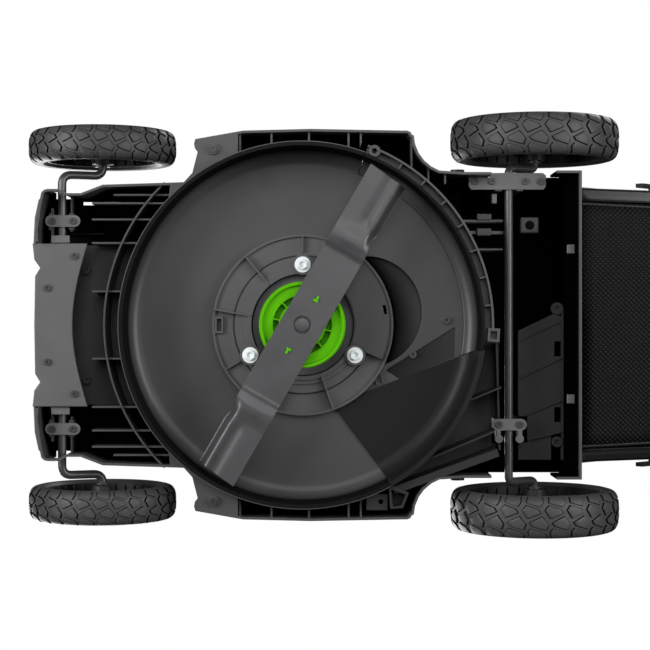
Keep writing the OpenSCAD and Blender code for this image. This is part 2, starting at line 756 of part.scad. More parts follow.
module cap(r, w) rotate([0, 90, 0]) difference() {
  union() {
    rotate_extrude($fn = 72) polygon([[0, w / 2 - 4.4], [22, w / 2 - 5], [r - bead - 12, w / 2 - 8],
      [r - bead - 5, w / 2 - 9], [r - bead - 5, w / 2 - 11], [r - bead - 12, w / 2 - 10],
      [22, w / 2 - 7], [0, w / 2 - 6.4]]);
  }
  for (a = [0:60:300]) rotate([0, 0, a]) translate([r * 0.42, 0, w / 2 - 20])
    cylinder(r = 6, h = 20);
}

module wheel_place(axle_y, axle_z, outer_x, w, side)
  translate([side * (outer_x - w / 2), axle_y, axle_z]) mirror([side < 0 ? 1 : 0, 0, 0]) children();

module front_wheel(side) wheel_place(-front_y, front_r, front_x, front_w, side) children();
module rear_wheel(side) wheel_place(rear_y, rear_r, rear_x, rear_w, side) children();

module tyre_front_left() place() color(black) front_wheel(1) tyre(front_r, front_w);
module tyre_front_right() place() color(black) front_wheel(-1) tyre(front_r, front_w);
module tyre_rear_left() place() color(black) rear_wheel(1) tyre(rear_r, rear_w);
module tyre_rear_right() place() color(black) rear_wheel(-1) tyre(rear_r, rear_w);
module rim_front_left() place() color(dark) front_wheel(1) rim(front_r, front_w);
module rim_front_right() place() color(dark) front_wheel(-1) rim(front_r, front_w);
module rim_rear_left() place() color(dark) rear_wheel(1) rim(rear_r, rear_w);
module rim_rear_right() place() color(dark) rear_wheel(-1) rim(rear_r, rear_w);
module cap_front_left() place() color(green) front_wheel(1) cap(front_r, front_w);
module cap_front_right() place() color(green) front_wheel(-1) cap(front_r, front_w);
module cap_rear_left() place() color(green) rear_wheel(1) cap(rear_r, rear_w);
module cap_rear_right() place() color(green) rear_wheel(-1) cap(rear_r, rear_w);

// ---------------------------------------------------------------- height adjustment

module height_lever() place() color(black) translate([lever_x - 4, lever_y, lever_z]) rotate([52, 0, 0]) difference() {
  union() {
    rotate([0, 90, 0]) cylinder(r = 9, h = 7);
    translate([0.5, -6, 0]) cube([6, 12, 92]);
    translate([-2, -11, 86]) cube([11, 22, 30]);
  }
  translate([-5, 0, 0]) rotate([0, 90, 0]) cylinder(r = 4 + run_gap, h = 20);
}

module height_link() place() color(steel)
  translate([link_x + 5, front_rod_y + 4, 101]) cube([4, rear_rod_y - front_rod_y - 8, 8]);

// ---------------------------------------------------------------- blade group

flat_r = 97;
drop_r = 112;

module blade() place() color(black) aim(blade_rest) difference() {
  union() {
    translate([-flat_r, -blade_w / 2, cut_z + 3]) cube([2 * flat_r, blade_w, blade_t]);
    for (a = [0, 180]) rotate([0, 0, a]) {
      hull() {
        translate([flat_r - 0.5, -blade_w / 2, cut_z + 3]) cube([0.5, blade_w, blade_t]);
        translate([drop_r, -blade_w / 2, cut_z]) cube([0.5, blade_w, blade_t]);
      }
      translate([drop_r, -blade_w / 2, cut_z])
        linear_extrude(blade_t) polygon([[0, 0], [blade_len / 2 - drop_r - 3, 0],
          [blade_len / 2 - drop_r, 6], [blade_len / 2 - drop_r, blade_w - 6], [30, blade_w - 6], [0, blade_w]]);
      hull() {
        translate([drop_r + 30, blade_w / 2 - 8, cut_z]) cube([blade_len / 2 - drop_r - 30, 2, blade_t]);
        translate([drop_r + 30, blade_w / 2 - 3, cut_z + 12]) cube([blade_len / 2 - drop_r - 30, 3, 2]);
      }
    }
  }
  translate([0, 0, 20]) cylinder(r = 10.6, h = 30);
  for (s = [-1, 1]) translate([s * 35, 0, 20]) cylinder(r = 6.4, h = 30);
}

module blade_fan() place() color(green) aim(blade_rest) {
  difference() {
    rotate_extrude($fn = 72) polygon([[shaft_r, 38.2], [28, 38.2], [28, 54], [35, 54], [35, 43],
      [46.5, 43], [47.5, 39], [50, 38.4], [51.5, 40], [51.5, 62], [49.5, 62], [49.5, 46],
      [36.5, 46], [36.5, 58], [26, 58], [26, 66], [shaft_r, 66]]);
    translate([0, 0, 30]) cylinder(r = shaft_r, h = 60);
  }
  for (a = [0:36:324]) rotate([0, 0, a]) translate([27.5, -0.9, 42]) cube([8, 1.8, 13]);
  for (a = [0:30:330]) rotate([0, 0, a + 10]) translate([37, -0.8, 45.5]) rotate([0, 0, 20]) cube([12, 1.6, 14]);
  // hooked pegs that drive the blade through its two holes
  for (s = [0, 180]) rotate([0, 0, s]) translate([35, 0, 33.4]) {
    translate([-3.6, -1.4, 0]) cube([7.6, 2.8, 9.7]);
    translate([-3.6, -3.6, 0]) cube([2.8, 6, 9.7]);
  }
}

module blade_bolt() place() color(steel) {
  translate([0, 0, 34.2]) cylinder(r = 8, h = 3.9);
  translate([0, 0, 34.2]) difference() {
    cylinder(r = 10.5, h = 3.9);
    translate([0, 0, -1]) cylinder(r = 9, h = 6);
  }
}

module motor_rotor() place() color(steel) difference() {
  translate([0, 0, 102]) cylinder(r = 46, h = 38, $fn = 72);
  translate([0, 0, 90]) cylinder(r = shaft_r, h = 60);
  for (a = [0:60:300]) rotate([0, 0, a]) translate([30, 0, 90]) cylinder(r = 8, h = 60);
}

module motor_shaft() place() color(zinc) translate([0, 0, 38.2]) cylinder(r = shaft_r, h = 116);

// ---------------------------------------------------------------- handle

module lower_handle() place() color(steel) both_sides() difference() {
  on_handle(-22) translate([tube_x, 0, 0]) rotate([-90, 0, 0]) difference() {
    cylinder(r = lower_r, h = lower_len + 22);
    translate([0, 0, 30 + 22]) cylinder(r = inner_r, h = lower_len);
  }
  translate([tube_x - 30, pivot_y, pivot_z]) rotate([0, 90, 0]) cylinder(r = 4 + run_gap, h = 60);
}

module tube_collars() place() color(black) both_sides() on_handle(lower_len - collar_len) translate([tube_x, 0, 0]) {
  difference() {
    union() {
      rotate([-90, 0, 0]) cylinder(r = lower_r + 3, h = collar_len - 2);
      // clevis and pin of the cam lever
      for (z = [-9.6, 6.6]) translate([lower_r - 2, 18, z]) cube([15.8, 12, 3]);
    }
    translate([0, -1, 0]) rotate([-90, 0, 0]) cylinder(r = lower_r, h = collar_len + 4);
  }
  translate([lower_r + 8.8, 24, -9.6]) cylinder(r = 2 - run_gap, h = 19.2);
}

// lever on the outer side of a collar; it lies down the tube and swings outwards
module cam_lever() on_handle(lower_len - collar_len) translate([tube_x + lower_r + 6.8, 24, 0]) {
  difference() {
    union() {
      translate([2, 0, -6.2]) cylinder(r = 5.5, h = 12.4);
      translate([1, -44, -6.2]) cube([6, 44, 12.4]);
    }
    translate([2, 0, -10]) cylinder(r = 2, h = 20);
  }
}

module cam_lever_left() place() color(green) cam_lever();
module cam_lever_right() place() color(green) mirror([1, 0, 0]) cam_lever();

bend_r = 55;

module upper_handle() place() color(steel) both_sides() on_handle(0) {
  translate([tube_x, upper_start, 0]) rotate([-90, 0, 0])
    cylinder(r = upper_r, h = bar_s - bend_r - upper_start);
  translate([tube_x - bend_r, bar_s - bend_r, 0])
    rotate_extrude(angle = 90) translate([bend_r, 0]) circle(r = upper_r);
  translate([0, bar_s, 0]) rotate([0, 90, 0]) cylinder(r = upper_r, h = tube_x - bend_r);
}

grip_half = 122;

module hand_grip() place() color(black) on_handle(bar_s) rotate([0, 90, 0]) difference() {
  translate([0, 0, -grip_half]) cylinder(r = grip_r, h = 2 * grip_half);
  translate([0, 0, -grip_half - 1]) cylinder(r = upper_r, h = 2 * grip_half + 2);
}

module console() place() color(black) on_handle(console_s) difference() {
  hull() {
    translate([-166, -20, -12]) cube([332, 48, 18]);
    translate([-150, -28, -8]) cube([300, 60, 12]);
    translate([-60, -26, -16]) cube([120, 52, 34]);
  }
  // the bail's pivots and the well of the button
  for (s = [-1, 1]) translate([s * 158 - 5, 18, -30]) cube([10, 46, 60]);
  translate([30, 0, 8]) cylinder(r = 12, h = 20);
  both_sides() translate([tube_x, 0, 0]) rotate([-90, 0, 0]) cylinder(r = upper_r + 0.2, h = 100, center = true);
}

module bail_lever() place() color(steel) translate([0, pivot_y + bail_s * cos(slope), pivot_z + bail_s * sin(slope)])
  rotate([bail_rest, 0, 0]) {
    both_sides() {
      translate([158, 0, 0]) {
        rotate([-90, 0, 0]) cylinder(r = 4, h = bail_len - 20);
        sphere(r = 4);
      }
      translate([138, bail_len - 20, 0]) rotate_extrude(angle = 90) translate([20, 0]) circle(r = 4);
      translate([154.5, 0, 0]) rotate([0, 90, 0]) cylinder(r = 4, h = 10);
    }
    translate([-138, bail_len, 0]) rotate([0, 90, 0]) cylinder(r = 4, h = 276);
  }

module start_button() place() color(green) on_handle(console_s) translate([30, 0, 13]) {
  cylinder(r = 11.5, h = 8);
  translate([0, 0, 8]) cylinder(r = 9.5, h = 2);
}

module safety_key() place() color(green) {
  translate([50.1, 120, 199]) cube([1.4, 18, 22]);
  translate([48.8, 117, 216]) cube([6, 24, 14]);
}

module battery() place() color(black) difference() {
  union() {
    translate([-45.4, 92.6, 114]) cube([90.8, 66.8, 106]);
    hull() {
      translate([-48, 90, 219]) cube([96, 72, 14]);
      translate([-40, 96, 232]) cube([80, 58, 6]);
    }
  }
  // finger recesses on both sides
  for (s = [-1, 1]) translate([s * 48, 126, 228]) cube([10, 40, 8], center = true);
}

// ---------------------------------------------------------------- rear door and bag

door_y = 322;
door_z = 250;

module rear_door() place() color(dark) {
  translate([-150, door_y, door_z]) rotate([0, 90, 0]) cylinder(r = 5, h = 300);
  translate([-157, door_y, door_z]) rotate([0, 90, 0]) cylinder(r = 3, h = 314);
  hull() {
    translate([-150, door_y, door_z - 3]) cube([300, 6, 5]);
    translate([-146, door_y + 110, door_z - 3]) cube([292, 4, 4]);
  }
  translate([-60, door_y + 106, door_z - 3]) cube([120, 14, 6]);
}

module bag_frame() place() color(black) {
  // rim of the mouth
  difference() {
    translate([-bag_half, bag_y, bag_floor_z]) cube([2 * bag_half, 8, bag_top_z - bag_floor_z]);
    translate([-bag_half + 12, bag_y - 1, bag_floor_z + 10]) cube([2 * bag_half - 24, 10, bag_top_z - bag_floor_z - 20]);
  }
  // hooks that reach through the rear plate
  both_sides() translate([161, 316, 210]) cube([8, 21, 4]);
  // hard top of the bag with its carrying handle
  hull() {
    translate([-bag_half, bag_y, bag_top_z - 8]) cube([2 * bag_half, 8, 8]);
    translate([-bag_half + 14, bag_y + bag_len - 20, bag_top_z - 6]) cube([2 * bag_half - 28, 8, 6]);
  }
  translate([0, bag_y + 190, bag_top_z - 0.1]) difference() {
    translate([-70, -11, 0]) cube([140, 22, 30]);
    translate([-56, -12, -0.1]) cube([112, 24, 20]);
  }
}

module bag_fabric() place() color(black) difference() {
  hull() {
    translate([-bag_half + 22, bag_y + 8.4, bag_floor_z]) cube([2 * bag_half - 44, 4, 4]);
    translate([-bag_half + 4, bag_y + 8.4, bag_top_z - 14]) cube([2 * bag_half - 8, 4, 5.4]);
    translate([-bag_half + 30, bag_y + bag_len - 30, bag_floor_z + 24]) cube([2 * bag_half - 60, 4, 4]);
    translate([-bag_half + 18, bag_y + bag_len - 18, bag_top_z - 14]) cube([2 * bag_half - 36, 4, 5.4]);
  }
  hull() {
    translate([-bag_half + 25, bag_y + 8, bag_floor_z + 3]) cube([2 * bag_half - 50, 4, 4]);
    translate([-bag_half + 7, bag_y + 8, bag_top_z - 14]) cube([2 * bag_half - 14, 4, 6]);
    translate([-bag_half + 33, bag_y + bag_len - 36, bag_floor_z + 27]) cube([2 * bag_half - 66, 4, 4]);
    translate([-bag_half + 21, bag_y + bag_len - 24, bag_top_z - 14]) cube([2 * bag_half - 42, 4, 6]);
  }
}

deck_shell();
deck_insert();
mulch_plug();
discharge_chute();
front_cover();
motor_plate();
plate_cover();
rear_plate();
front_brackets();
rear_brackets();
cover_screws();
motor_bolts();
top_cover();
motor_cover();
cover_trim();
motor_stator();
motor_bearings();
controller();
battery_bay();
handle_brackets();
handle_bolts();
height_quadrant();
front_axle();
rear_axle();
front_clips();
rear_clips();
height_lever();
height_link();
tyre_front_left();
tyre_front_right();
tyre_rear_left();
tyre_rear_right();
rim_front_left();
rim_front_right();
rim_rear_left();
rim_rear_right();
cap_front_left();
cap_front_right();
cap_rear_left();
cap_rear_right();
blade();
blade_fan();
blade_bolt();
motor_rotor();
motor_shaft();
lower_handle();
tube_collars();
cam_lever_left();
cam_lever_right();
upper_handle();
hand_grip();
console();
bail_lever();
start_button();
safety_key();
battery();
rear_door();
bag_frame();
bag_fabric();
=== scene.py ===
import json
import math

import bmesh
import bpy
from mathutils import Matrix, Vector, noise

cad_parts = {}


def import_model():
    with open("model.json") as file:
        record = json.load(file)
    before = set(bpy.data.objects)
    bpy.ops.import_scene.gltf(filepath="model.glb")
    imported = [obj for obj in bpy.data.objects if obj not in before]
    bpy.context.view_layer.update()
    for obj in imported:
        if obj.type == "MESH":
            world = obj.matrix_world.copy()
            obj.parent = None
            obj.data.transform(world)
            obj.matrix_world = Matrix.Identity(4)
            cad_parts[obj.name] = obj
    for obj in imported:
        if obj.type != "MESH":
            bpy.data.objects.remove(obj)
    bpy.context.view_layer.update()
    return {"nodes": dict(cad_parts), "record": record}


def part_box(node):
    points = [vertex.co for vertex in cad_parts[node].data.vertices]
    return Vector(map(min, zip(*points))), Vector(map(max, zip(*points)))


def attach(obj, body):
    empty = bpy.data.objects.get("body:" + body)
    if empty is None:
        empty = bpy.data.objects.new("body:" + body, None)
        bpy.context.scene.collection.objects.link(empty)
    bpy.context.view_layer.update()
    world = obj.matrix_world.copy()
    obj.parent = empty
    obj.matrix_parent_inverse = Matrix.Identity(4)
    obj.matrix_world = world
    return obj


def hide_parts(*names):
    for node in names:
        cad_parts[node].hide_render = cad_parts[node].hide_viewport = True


# Push lawn mower, looked at from straight below. Lengths are in metres unless a comment says millimetres.
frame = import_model()
nodes = frame["nodes"]
MM = 0.001


# ---------------------------------------------------------------- places read from the frame
def node_box(name):
    """Lowest corner, highest corner and middle of a CAD node."""
    low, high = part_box(name)
    return low, high, (low + high) / 2


blade_axis = node_box("motor_shaft")[2]
blade_axis.z = 0


def deck_point(x, y, z):
    """A point given from the blade axis in millimetres: to the operator's left, to the rear, up."""
    return Vector((blade_axis.x + x * MM, blade_axis.y + y * MM, z * MM))


# ---------------------------------------------------------------- camera
# lens and sensor width in millimetres
LENS = 92.2
SENSOR = 36
CAMERA_DROP = 1.935
CAMERA_BACK = 0.027


def camera():
    """Looks straight up at the underside, with the rear of the machine to the right."""
    data = bpy.data.cameras.new("camera")
    data.sensor_width = SENSOR
    data.lens = LENS
    data.clip_end = 50
    cam = bpy.data.objects.new("camera", data)
    bpy.context.scene.collection.objects.link(cam)
    turn = Matrix(((0, 1, 0), (1, 0, 0), (0, 0, -1))).to_4x4()
    cam.matrix_world = Matrix.Translation((0, blade_axis.y + CAMERA_BACK, -CAMERA_DROP)) @ turn
    bpy.context.scene.camera = cam


camera()


# ---------------------------------------------------------------- materials
class Graph:
    """A small builder for one material's node tree."""

    def __init__(self, name):
        self.mat = bpy.data.materials.new(name)
        self.mat.use_nodes = True
        self.tree = self.mat.node_tree
        self.tree.nodes.clear()
        self.out = self.tree.nodes.new("ShaderNodeOutputMaterial")
        self.shader = self.tree.nodes.new("ShaderNodeBsdfPrincipled")
        self.link(self.shader.outputs[0], self.out.inputs["Surface"])
        self.coord = self.add("ShaderNodeTexCoord").outputs["Object"]

    def add(self, kind, **values):
        """A new node. A value goes to the socket of its name, or else to the node's property."""
        node = self.tree.nodes.new(kind)
        for key, value in values.items():
            if key in node.inputs:
                node.inputs[key].default_value = value
            else:
                setattr(node, key, value)
        return node

    def link(self, a, b):
        self.tree.links.new(a, b)

    def noise(self, scale, detail):
        node = self.add("ShaderNodeTexNoise", Scale=scale, Detail=detail, Roughness=0.55)
        self.link(self.coord, node.inputs["Vector"])
        return node.outputs["Fac"]

    def math(self, operation, a, b=None):
        """One arithmetic node. Each operand is a number or another node's output."""
        node = self.add("ShaderNodeMath", operation=operation)
        for socket, value in zip(node.inputs, (a, b)):
            if value is None:
                continue
            if isinstance(value, (int, float)):
                socket.default_value = value
            else:
                self.link(value, socket)
        return node.outputs[0]

    def product(self, first, *others):
        for value in others:
            first = self.math("MULTIPLY", first, value)
        return first

    def total(self, a, b):
        return self.math("ADD", a, b)

    def above(self, value, limit):
        return self.math("GREATER_THAN", value, limit)

    def below(self, value, limit):
        return self.math("LESS_THAN", value, limit)

    def between(self, value, low, high):
        return self.product(self.above(value, low), self.below(value, high))

    def opposite(self, value):
        return self.math("SUBTRACT", 1.0, value)

    def size(self, value):
        return self.math("ABSOLUTE", value)

    def split(self, vector):
        """The x, y and z of a vector."""
        node = self.add("ShaderNodeSeparateXYZ")
        self.link(vector, node.inputs[0])
        return node.outputs

    def axes(self):
        return self.split(self.coord)

    def facing(self):
        return self.split(self.add("ShaderNodeTexCoord").outputs["Normal"])

    def ramp(self, fac, stops):
        node = self.add("ShaderNodeValToRGB")
        elements = node.color_ramp.elements
        while len(elements) < len(stops):
            elements.new(0.5)
        for element, (at, colour) in zip(elements, stops):
            element.position = at
            element.color = (*colour, 1)
        self.link(fac, node.inputs["Fac"])
        return node.outputs["Color"]

    def spread(self, fac, low, high, start=0.0, end=1.0):
        """Goes from low to high as fac goes from start to end, and no further."""
        node = self.add("ShaderNodeMapRange")
        for key, value in (("From Min", start), ("From Max", end), ("To Min", low), ("To Max", high)):
            node.inputs[key].default_value = value
        self.link(fac, node.inputs["Value"])
        return node.outputs["Result"]

    def bump(self, height, strength, distance, normal=None):
        node = self.add("ShaderNodeBump", Strength=strength, Distance=distance)
        self.link(height, node.inputs["Height"])
        if normal is not None:
            self.link(normal, node.inputs["Normal"])
        return node.outputs["Normal"]

    def bevel(self, radius):
        return self.add("ShaderNodeBevel", Radius=radius, samples=4).outputs["Normal"]

    def blend_surface(self, fac, second):
        """Shows the second shader in place of the main one where fac is 1."""
        blend = self.add("ShaderNodeMixShader")
        self.link(fac, blend.inputs[0])
        self.link(self.shader.outputs[0], blend.inputs[1])
        self.link(second.outputs[0], blend.inputs[2])
        self.link(blend.outputs[0], self.out.inputs["Surface"])


def tint(colour, factor):
    return tuple(min(1, c * factor) for c in colour)


def moulded(name, colour, rough=0.5, grain=1100, bump=0.12, bevel=0.0007, mottling=0.12, shine=0.3,
            paint_hollow_shade=False):
    """Moulded plastic: fine spark-eroded grain, slow colour drift and softened edges.
    Its last flag paints black shade into the deep undersides round the cutting chamber, as unlit cells."""
    g = Graph(name)
    g.link(g.ramp(g.noise(9, 4), [(0.3, tint(colour, 1 - mottling)), (0.7, tint(colour, 1 + mottling))]),
           g.shader.inputs["Base Color"])
    g.link(g.spread(g.noise(38, 5), rough - 0.06, rough + 0.06), g.shader.inputs["Roughness"])
    g.shader.inputs["Specular IOR Level"].default_value = shine
    g.link(g.bump(g.noise(grain, 2), bump, 0.0004, g.bevel(bevel)), g.shader.inputs["Normal"])
    # shade painted black into the deep hollows
    if paint_hollow_shade:
        mix_in_painted_shade(g)
    return g.mat


# painted shade in the hollows under the deck: heights, places and distances in plan from the blade axis,
# and how dark it is painted, as shares of black
CHAMBER_WALL = 0.2185
CELL_SHALLOW, CELL_DEEP = 0.052, 0.086
REAR_CELLS_FROM = 0.29
REAR_CELL_SHALLOW, REAR_CELL_DEEP = 0.025, 0.036
RECESS_HALF_WIDTH, RECESS_BEFORE, RECESS_LIGHT = 0.097, -0.2, 0.75
LIP_INSIDE, LIP_OUTSIDE, LIP_LOW, LIP_HIGH, LIP_SHADE = 0.2025, 0.216, 0.076, 0.091, 0.88
POCKET_ABOVE, POCKET_REACH, POCKET_NEAR, POCKET_FAR = 0.0985, 0.186, 0.112, 0.142
POCKET_SHADES = (1.0, 0.35)
RAMP_LOW, RAMP_HIGH, RAMP_REACH, RAMP_NEAR, RAMP_FAR = 0.0958, 0.0983, 0.19, 0.11, 0.18
RAMP_SHADES = (0.85, 0.45)
STEEP = 0.5
# the black that is painted in as shade
PAINTED_SHADE_BLACK = (0.001, 0.001, 0.001, 1)


def cell_shade(g, x, y, z, plan, normal):
    """Undersides and inner walls outside the chamber, darker the deeper they lie."""
    nx, ny, nz = normal
    outward = g.above(g.total(g.product(nx, x), g.product(ny, y)), 0.0)
    steep = g.below(g.size(nz), STEEP)
    inner = g.opposite(g.product(outward, steep))
    shade = g.spread(z, 0.0, 1.0, CELL_SHALLOW, CELL_DEEP)
    behind = g.above(y, REAR_CELLS_FROM)
    rear_shade = g.spread(z, 0.0, 1.0, REAR_CELL_SHALLOW, REAR_CELL_DEEP)
    shade = g.math("MAXIMUM", shade, g.product(behind, rear_shade))
    shade = g.product(shade, g.above(plan, CHAMBER_WALL))
    shade = g.product(shade, g.product(inner, g.below(nz, STEEP)))
    # the shallow recess between the front cover and the chamber is open to the light
    recess = g.product(g.below(g.size(x), RECESS_HALF_WIDTH), g.below(y, RECESS_BEFORE))
    return g.product(shade, g.opposite(g.product(recess, RECESS_LIGHT)))


def lip_shade(g, z, plan):
    """The chamber's upright wall and its lip."""
    return g.product(g.between(plan, LIP_INSIDE, LIP_OUTSIDE), g.spread(z, LIP_SHADE, 0.0, LIP_LOW, LIP_HIGH))


def pocket_shade(g, z, plan, nz):
    """The pocket beside the motor plate."""
    pocket = g.product(g.above(z, POCKET_ABOVE), g.below(plan, POCKET_REACH))
    return g.product(pocket, g.spread(plan, *POCKET_SHADES, POCKET_NEAR, POCKET_FAR), g.below(nz, STEEP))


def ramp_shade(g, z, plan):
    """The ramp towards the mulch plug."""
    ramp = g.product(g.between(z, RAMP_LOW, RAMP_HIGH), g.below(plan, RAMP_REACH))
    return g.product(ramp, g.spread(plan, *RAMP_SHADES, RAMP_NEAR, RAMP_FAR))


# painted shade: black mixed in by place on the object stands in for the shade of the hollows
def mix_in_painted_shade(g):
    """Mixes in black by place on the object, because the photograph's hollows get next to no light."""
    x, y, z = g.axes()
    y = g.math("SUBTRACT", y, blade_axis.y)
    plan = g.math("SQRT", g.total(g.product(x, x), g.product(y, y)))
    normal = g.facing()
    cells = cell_shade(g, x, y, z, plan, normal)
    lip = lip_shade(g, z, plan)
    pocket = pocket_shade(g, z, plan, normal[2])
    ramp = ramp_shade(g, z, plan)
    dark = g.math("MINIMUM", 1.0, g.total(g.total(cells, ramp), g.total(lip, pocket)))
    g.blend_surface(dark, g.add("ShaderNodeBsdfDiffuse", Color=PAINTED_SHADE_BLACK))


def metal(name, colour, rough=0.35, metallic=1.0, coat=0.0):
    """Metal or coated metal with fine drawn marks and cloudy gloss."""
    g = Graph(name)
    g.link(g.ramp(g.noise(24, 5), [(0.3, tint(colour, 0.86)), (0.7, tint(colour, 1.12))]),
           g.shader.inputs["Base Color"])
    g.link(g.spread(g.noise(90, 4), rough - 0.08, rough + 0.1), g.shader.inputs["Roughness"])
    g.shader.inputs["Metallic"].default_value = metallic
    g.shader.inputs["Coat Weight"].default_value = coat
    g.link(g.bump(g.noise(300, 3), 0.08, 0.0003, g.bevel(0.0005)), g.shader.inputs["Normal"])
    return g.mat


def woven(name, colour, knot, pitch_x, pitch_y):
    """Open polyester mesh: raised knots on a staggered grid, with fine threads between them."""
    g = Graph(name)
    x, y, z = g.axes()
    wall = g.below(g.size(g.facing()[2]), 0.6)
    u = g.total(x, g.product(y, wall))
    v = g.total(g.product(y, g.opposite(wall)), g.product(z, wall))
    wave = g.product(g.math("COSINE", g.product(u, math.tau / pitch_x)),
                     g.math("COSINE", g.product(v, math.tau / pitch_y)))
    height = g.spread(wave, 0.0, 1.0, -0.35, 1.0)
    g.link(g.ramp(height, [(0.0, tint(colour, 0.55)), (0.35, colour), (0.95, knot)]),
           g.shader.inputs["Base Color"])
    g.link(g.spread(g.noise(60, 4), 0.5, 0.68), g.shader.inputs["Roughness"])
    g.shader.inputs["Specular IOR Level"].default_value = 0.12
    threads = g.bump(g.noise(2600, 2), 0.25, 0.0004)
    g.link(g.bump(height, 0.8, 0.0008, threads), g.shader.inputs["Normal"])
    return g.mat


# one material for each slot of the record
MATERIALS = {
    # deck_plastic and insert_plastic carry black shade painted into their hollows
    "deck_plastic": moulded("deck_plastic", (0.052, 0.052, 0.054), 0.38, paint_hollow_shade=True),
    "insert_plastic": moulded("insert_plastic", (0.052, 0.052, 0.054), 0.38, paint_hollow_shade=True),
    "cover_plastic": moulded("cover_plastic", (0.040, 0.040, 0.042), 0.4),
    "plate_plastic": moulded("plate_plastic", (0.072, 0.072, 0.074), 0.45, shine=0.25),
    "shroud_plastic": moulded("shroud_plastic", (0.020, 0.020, 0.022), 0.3, shine=0.45),
    "rim_plastic": moulded("rim_plastic", (0.020, 0.020, 0.022), 0.45, shine=0.2),
    "battery_plastic": moulded("battery_plastic", (0.018, 0.018, 0.020), 0.4),
    "green_plastic": moulded("green_plastic", (0.072, 0.34, 0.0006), 0.4, mottling=0.08, shine=0.06),
    "bracket_metal": metal("bracket_metal", (0.10, 0.10, 0.104), 0.45, 0.15),
    "tube_paint": metal("tube_paint", (0.02, 0.02, 0.022), 0.3, 0.0, coat=0.3),
    "axle_steel": metal("axle_steel", (0.06, 0.06, 0.062), 0.32, 0.3),
    "blade_steel": metal("blade_steel", (0.052, 0.052, 0.055), 0.38, 0.2),
    "black_screw": metal("black_screw", (0.05, 0.05, 0.052), 0.4, 0.6),
    "motor_metal": metal("motor_metal", (0.10, 0.10, 0.105), 0.5, 0.6),
    "bearing_steel": metal("bearing_steel", (0.5, 0.5, 0.52), 0.25),
    "zinc": metal("zinc", (0.74, 0.77, 0.79), 0.35, 0.1),
    "tyre_rubber": moulded("tyre_rubber", (0.042, 0.042, 0.042), 0.5, grain=700, bump=0.15, bevel=0.0004),
    "foam_rubber": moulded("foam_rubber", (0.018, 0.018, 0.018), 0.8, grain=500, bump=0.4),
    "bag_mesh": woven("bag_mesh", (0.003, 0.003, 0.0032), (0.019, 0.019, 0.020), 0.0061, 0.00635),
}
# finishes of pieces that differ from their slot's, some darker or lighter as painted shade or light
# painted shade: the mulch plug and the discharge chute are darker copies of the deck's plastic
plug_shaded_tone = moulded("plug_shaded_tone", (0.010, 0.010, 0.0105), 0.42, shine=0.14)
duct_shaded_tone = moulded("duct_shaded_tone", (0.021, 0.021, 0.022), 0.45, shine=0.2)
# painted light: the front cover is a lighter copy of the plastic, with a wider softened edge
apron_lit_finish = moulded("apron_lit_finish", (0.085, 0.085, 0.088), 0.4, bevel=0.0026)
# the shroud plastic with black shade painted into its hollows, for the bag frame and rear door
frame_finish_and_shade = moulded("frame_finish_and_shade", (0.020, 0.020, 0.022), 0.3, shine=0.45, paint_hollow_shade=True)
panel_finish = moulded("panel_finish", (0.016, 0.016, 0.017), 0.5, shine=0.12)
# near-black for painted shade: the sides of the tread blocks and the switch block's bore
dark_painted_shade = moulded("dark_painted_shade", (0.002, 0.002, 0.002), 0.7, shine=0.05)
OWN_FINISH = {
    "mulch_plug": plug_shaded_tone,
    "discharge_chute": duct_shaded_tone,
    "cover_screws": MATERIALS["black_screw"],
    "rear_clips": MATERIALS["black_screw"],
    "front_clips": MATERIALS["black_screw"],
    "front_cover": apron_lit_finish,
    "bag_frame": frame_finish_and_shade,
    "rear_door": frame_finish_and_shade,
}


def give(obj, mat):
    obj.data.materials.clear()
    obj.data.materials.append(mat)


for part in frame["record"]["subparts"]:
    give(nodes[part["node"]], MATERIALS[part["material_slot"]])
for name, finish in OWN_FINISH.items():
    give(nodes[name], finish)

# points closer than this are one point
SAME_POINT = 1e-6


def soften(angle):
    """Shades the CAD nodes smoothly across the facets of round faces, held flat by the large ones.
    Apart from the smooth flags it is done by modifiers, so the nodes' own vertices don't change."""
    for node in nodes.values():
        node.data.polygons.foreach_set("use_smooth", [True] * len(node.data.polygons))
        joined = node.modifiers.new("joined", "WELD")
        joined.merge_threshold = SAME_POINT
        edges = node.modifiers.new("edges", "EDGE_SPLIT")
        edges.split_angle = math.radians(angle)
        node.modifiers.new("weighted_normals", "WEIGHTED_NORMAL")


soften(26)


# ---------------------------------------------------------------- mesh helpers
class Shape:
    """Collects vertices and faces for one piece."""

    def __init__(self):
        self.verts, self.faces = [], []

    def add(self, verts, faces):
        base = len(self.verts)
        self.verts += [tuple(v) for v in verts]
        self.faces += [tuple(base + i for i in f) for f in faces]

    def grid(self, rows, wrap_row=False, wrap_column=False):
        """rows is a list of equally long lists of points."""
        count, width = len(rows), len(rows[0])
        faces = []
        for i in range(count if wrap_row else count - 1):
            for j in range(width if wrap_column else width - 1):
                a, b = i * width + j, i * width + (j + 1) % width
                c, d = (i + 1) % count * width + (j + 1) % width, (i + 1) % count * width + j
                faces.append((a, b, c, d))
        self.add([p for row in rows for p in row], faces)

    def build(self, name, mat, angle=40):
        """The finished object, with sharp edges where its faces meet at more than the angle."""
        data = bpy.data.meshes.new(name)
        data.from_pydata(self.verts, [], self.faces)
        data.validate()
        obj = bpy.data.objects.new(name, data)
        bpy.context.scene.collection.objects.link(obj)
        data.materials.append(mat)
        data.polygons.foreach_set("use_smooth", [True] * len(data.polygons))
        data.set_sharp_from_angle(angle=math.radians(angle))
        join_and_face_out(obj)
        return obj


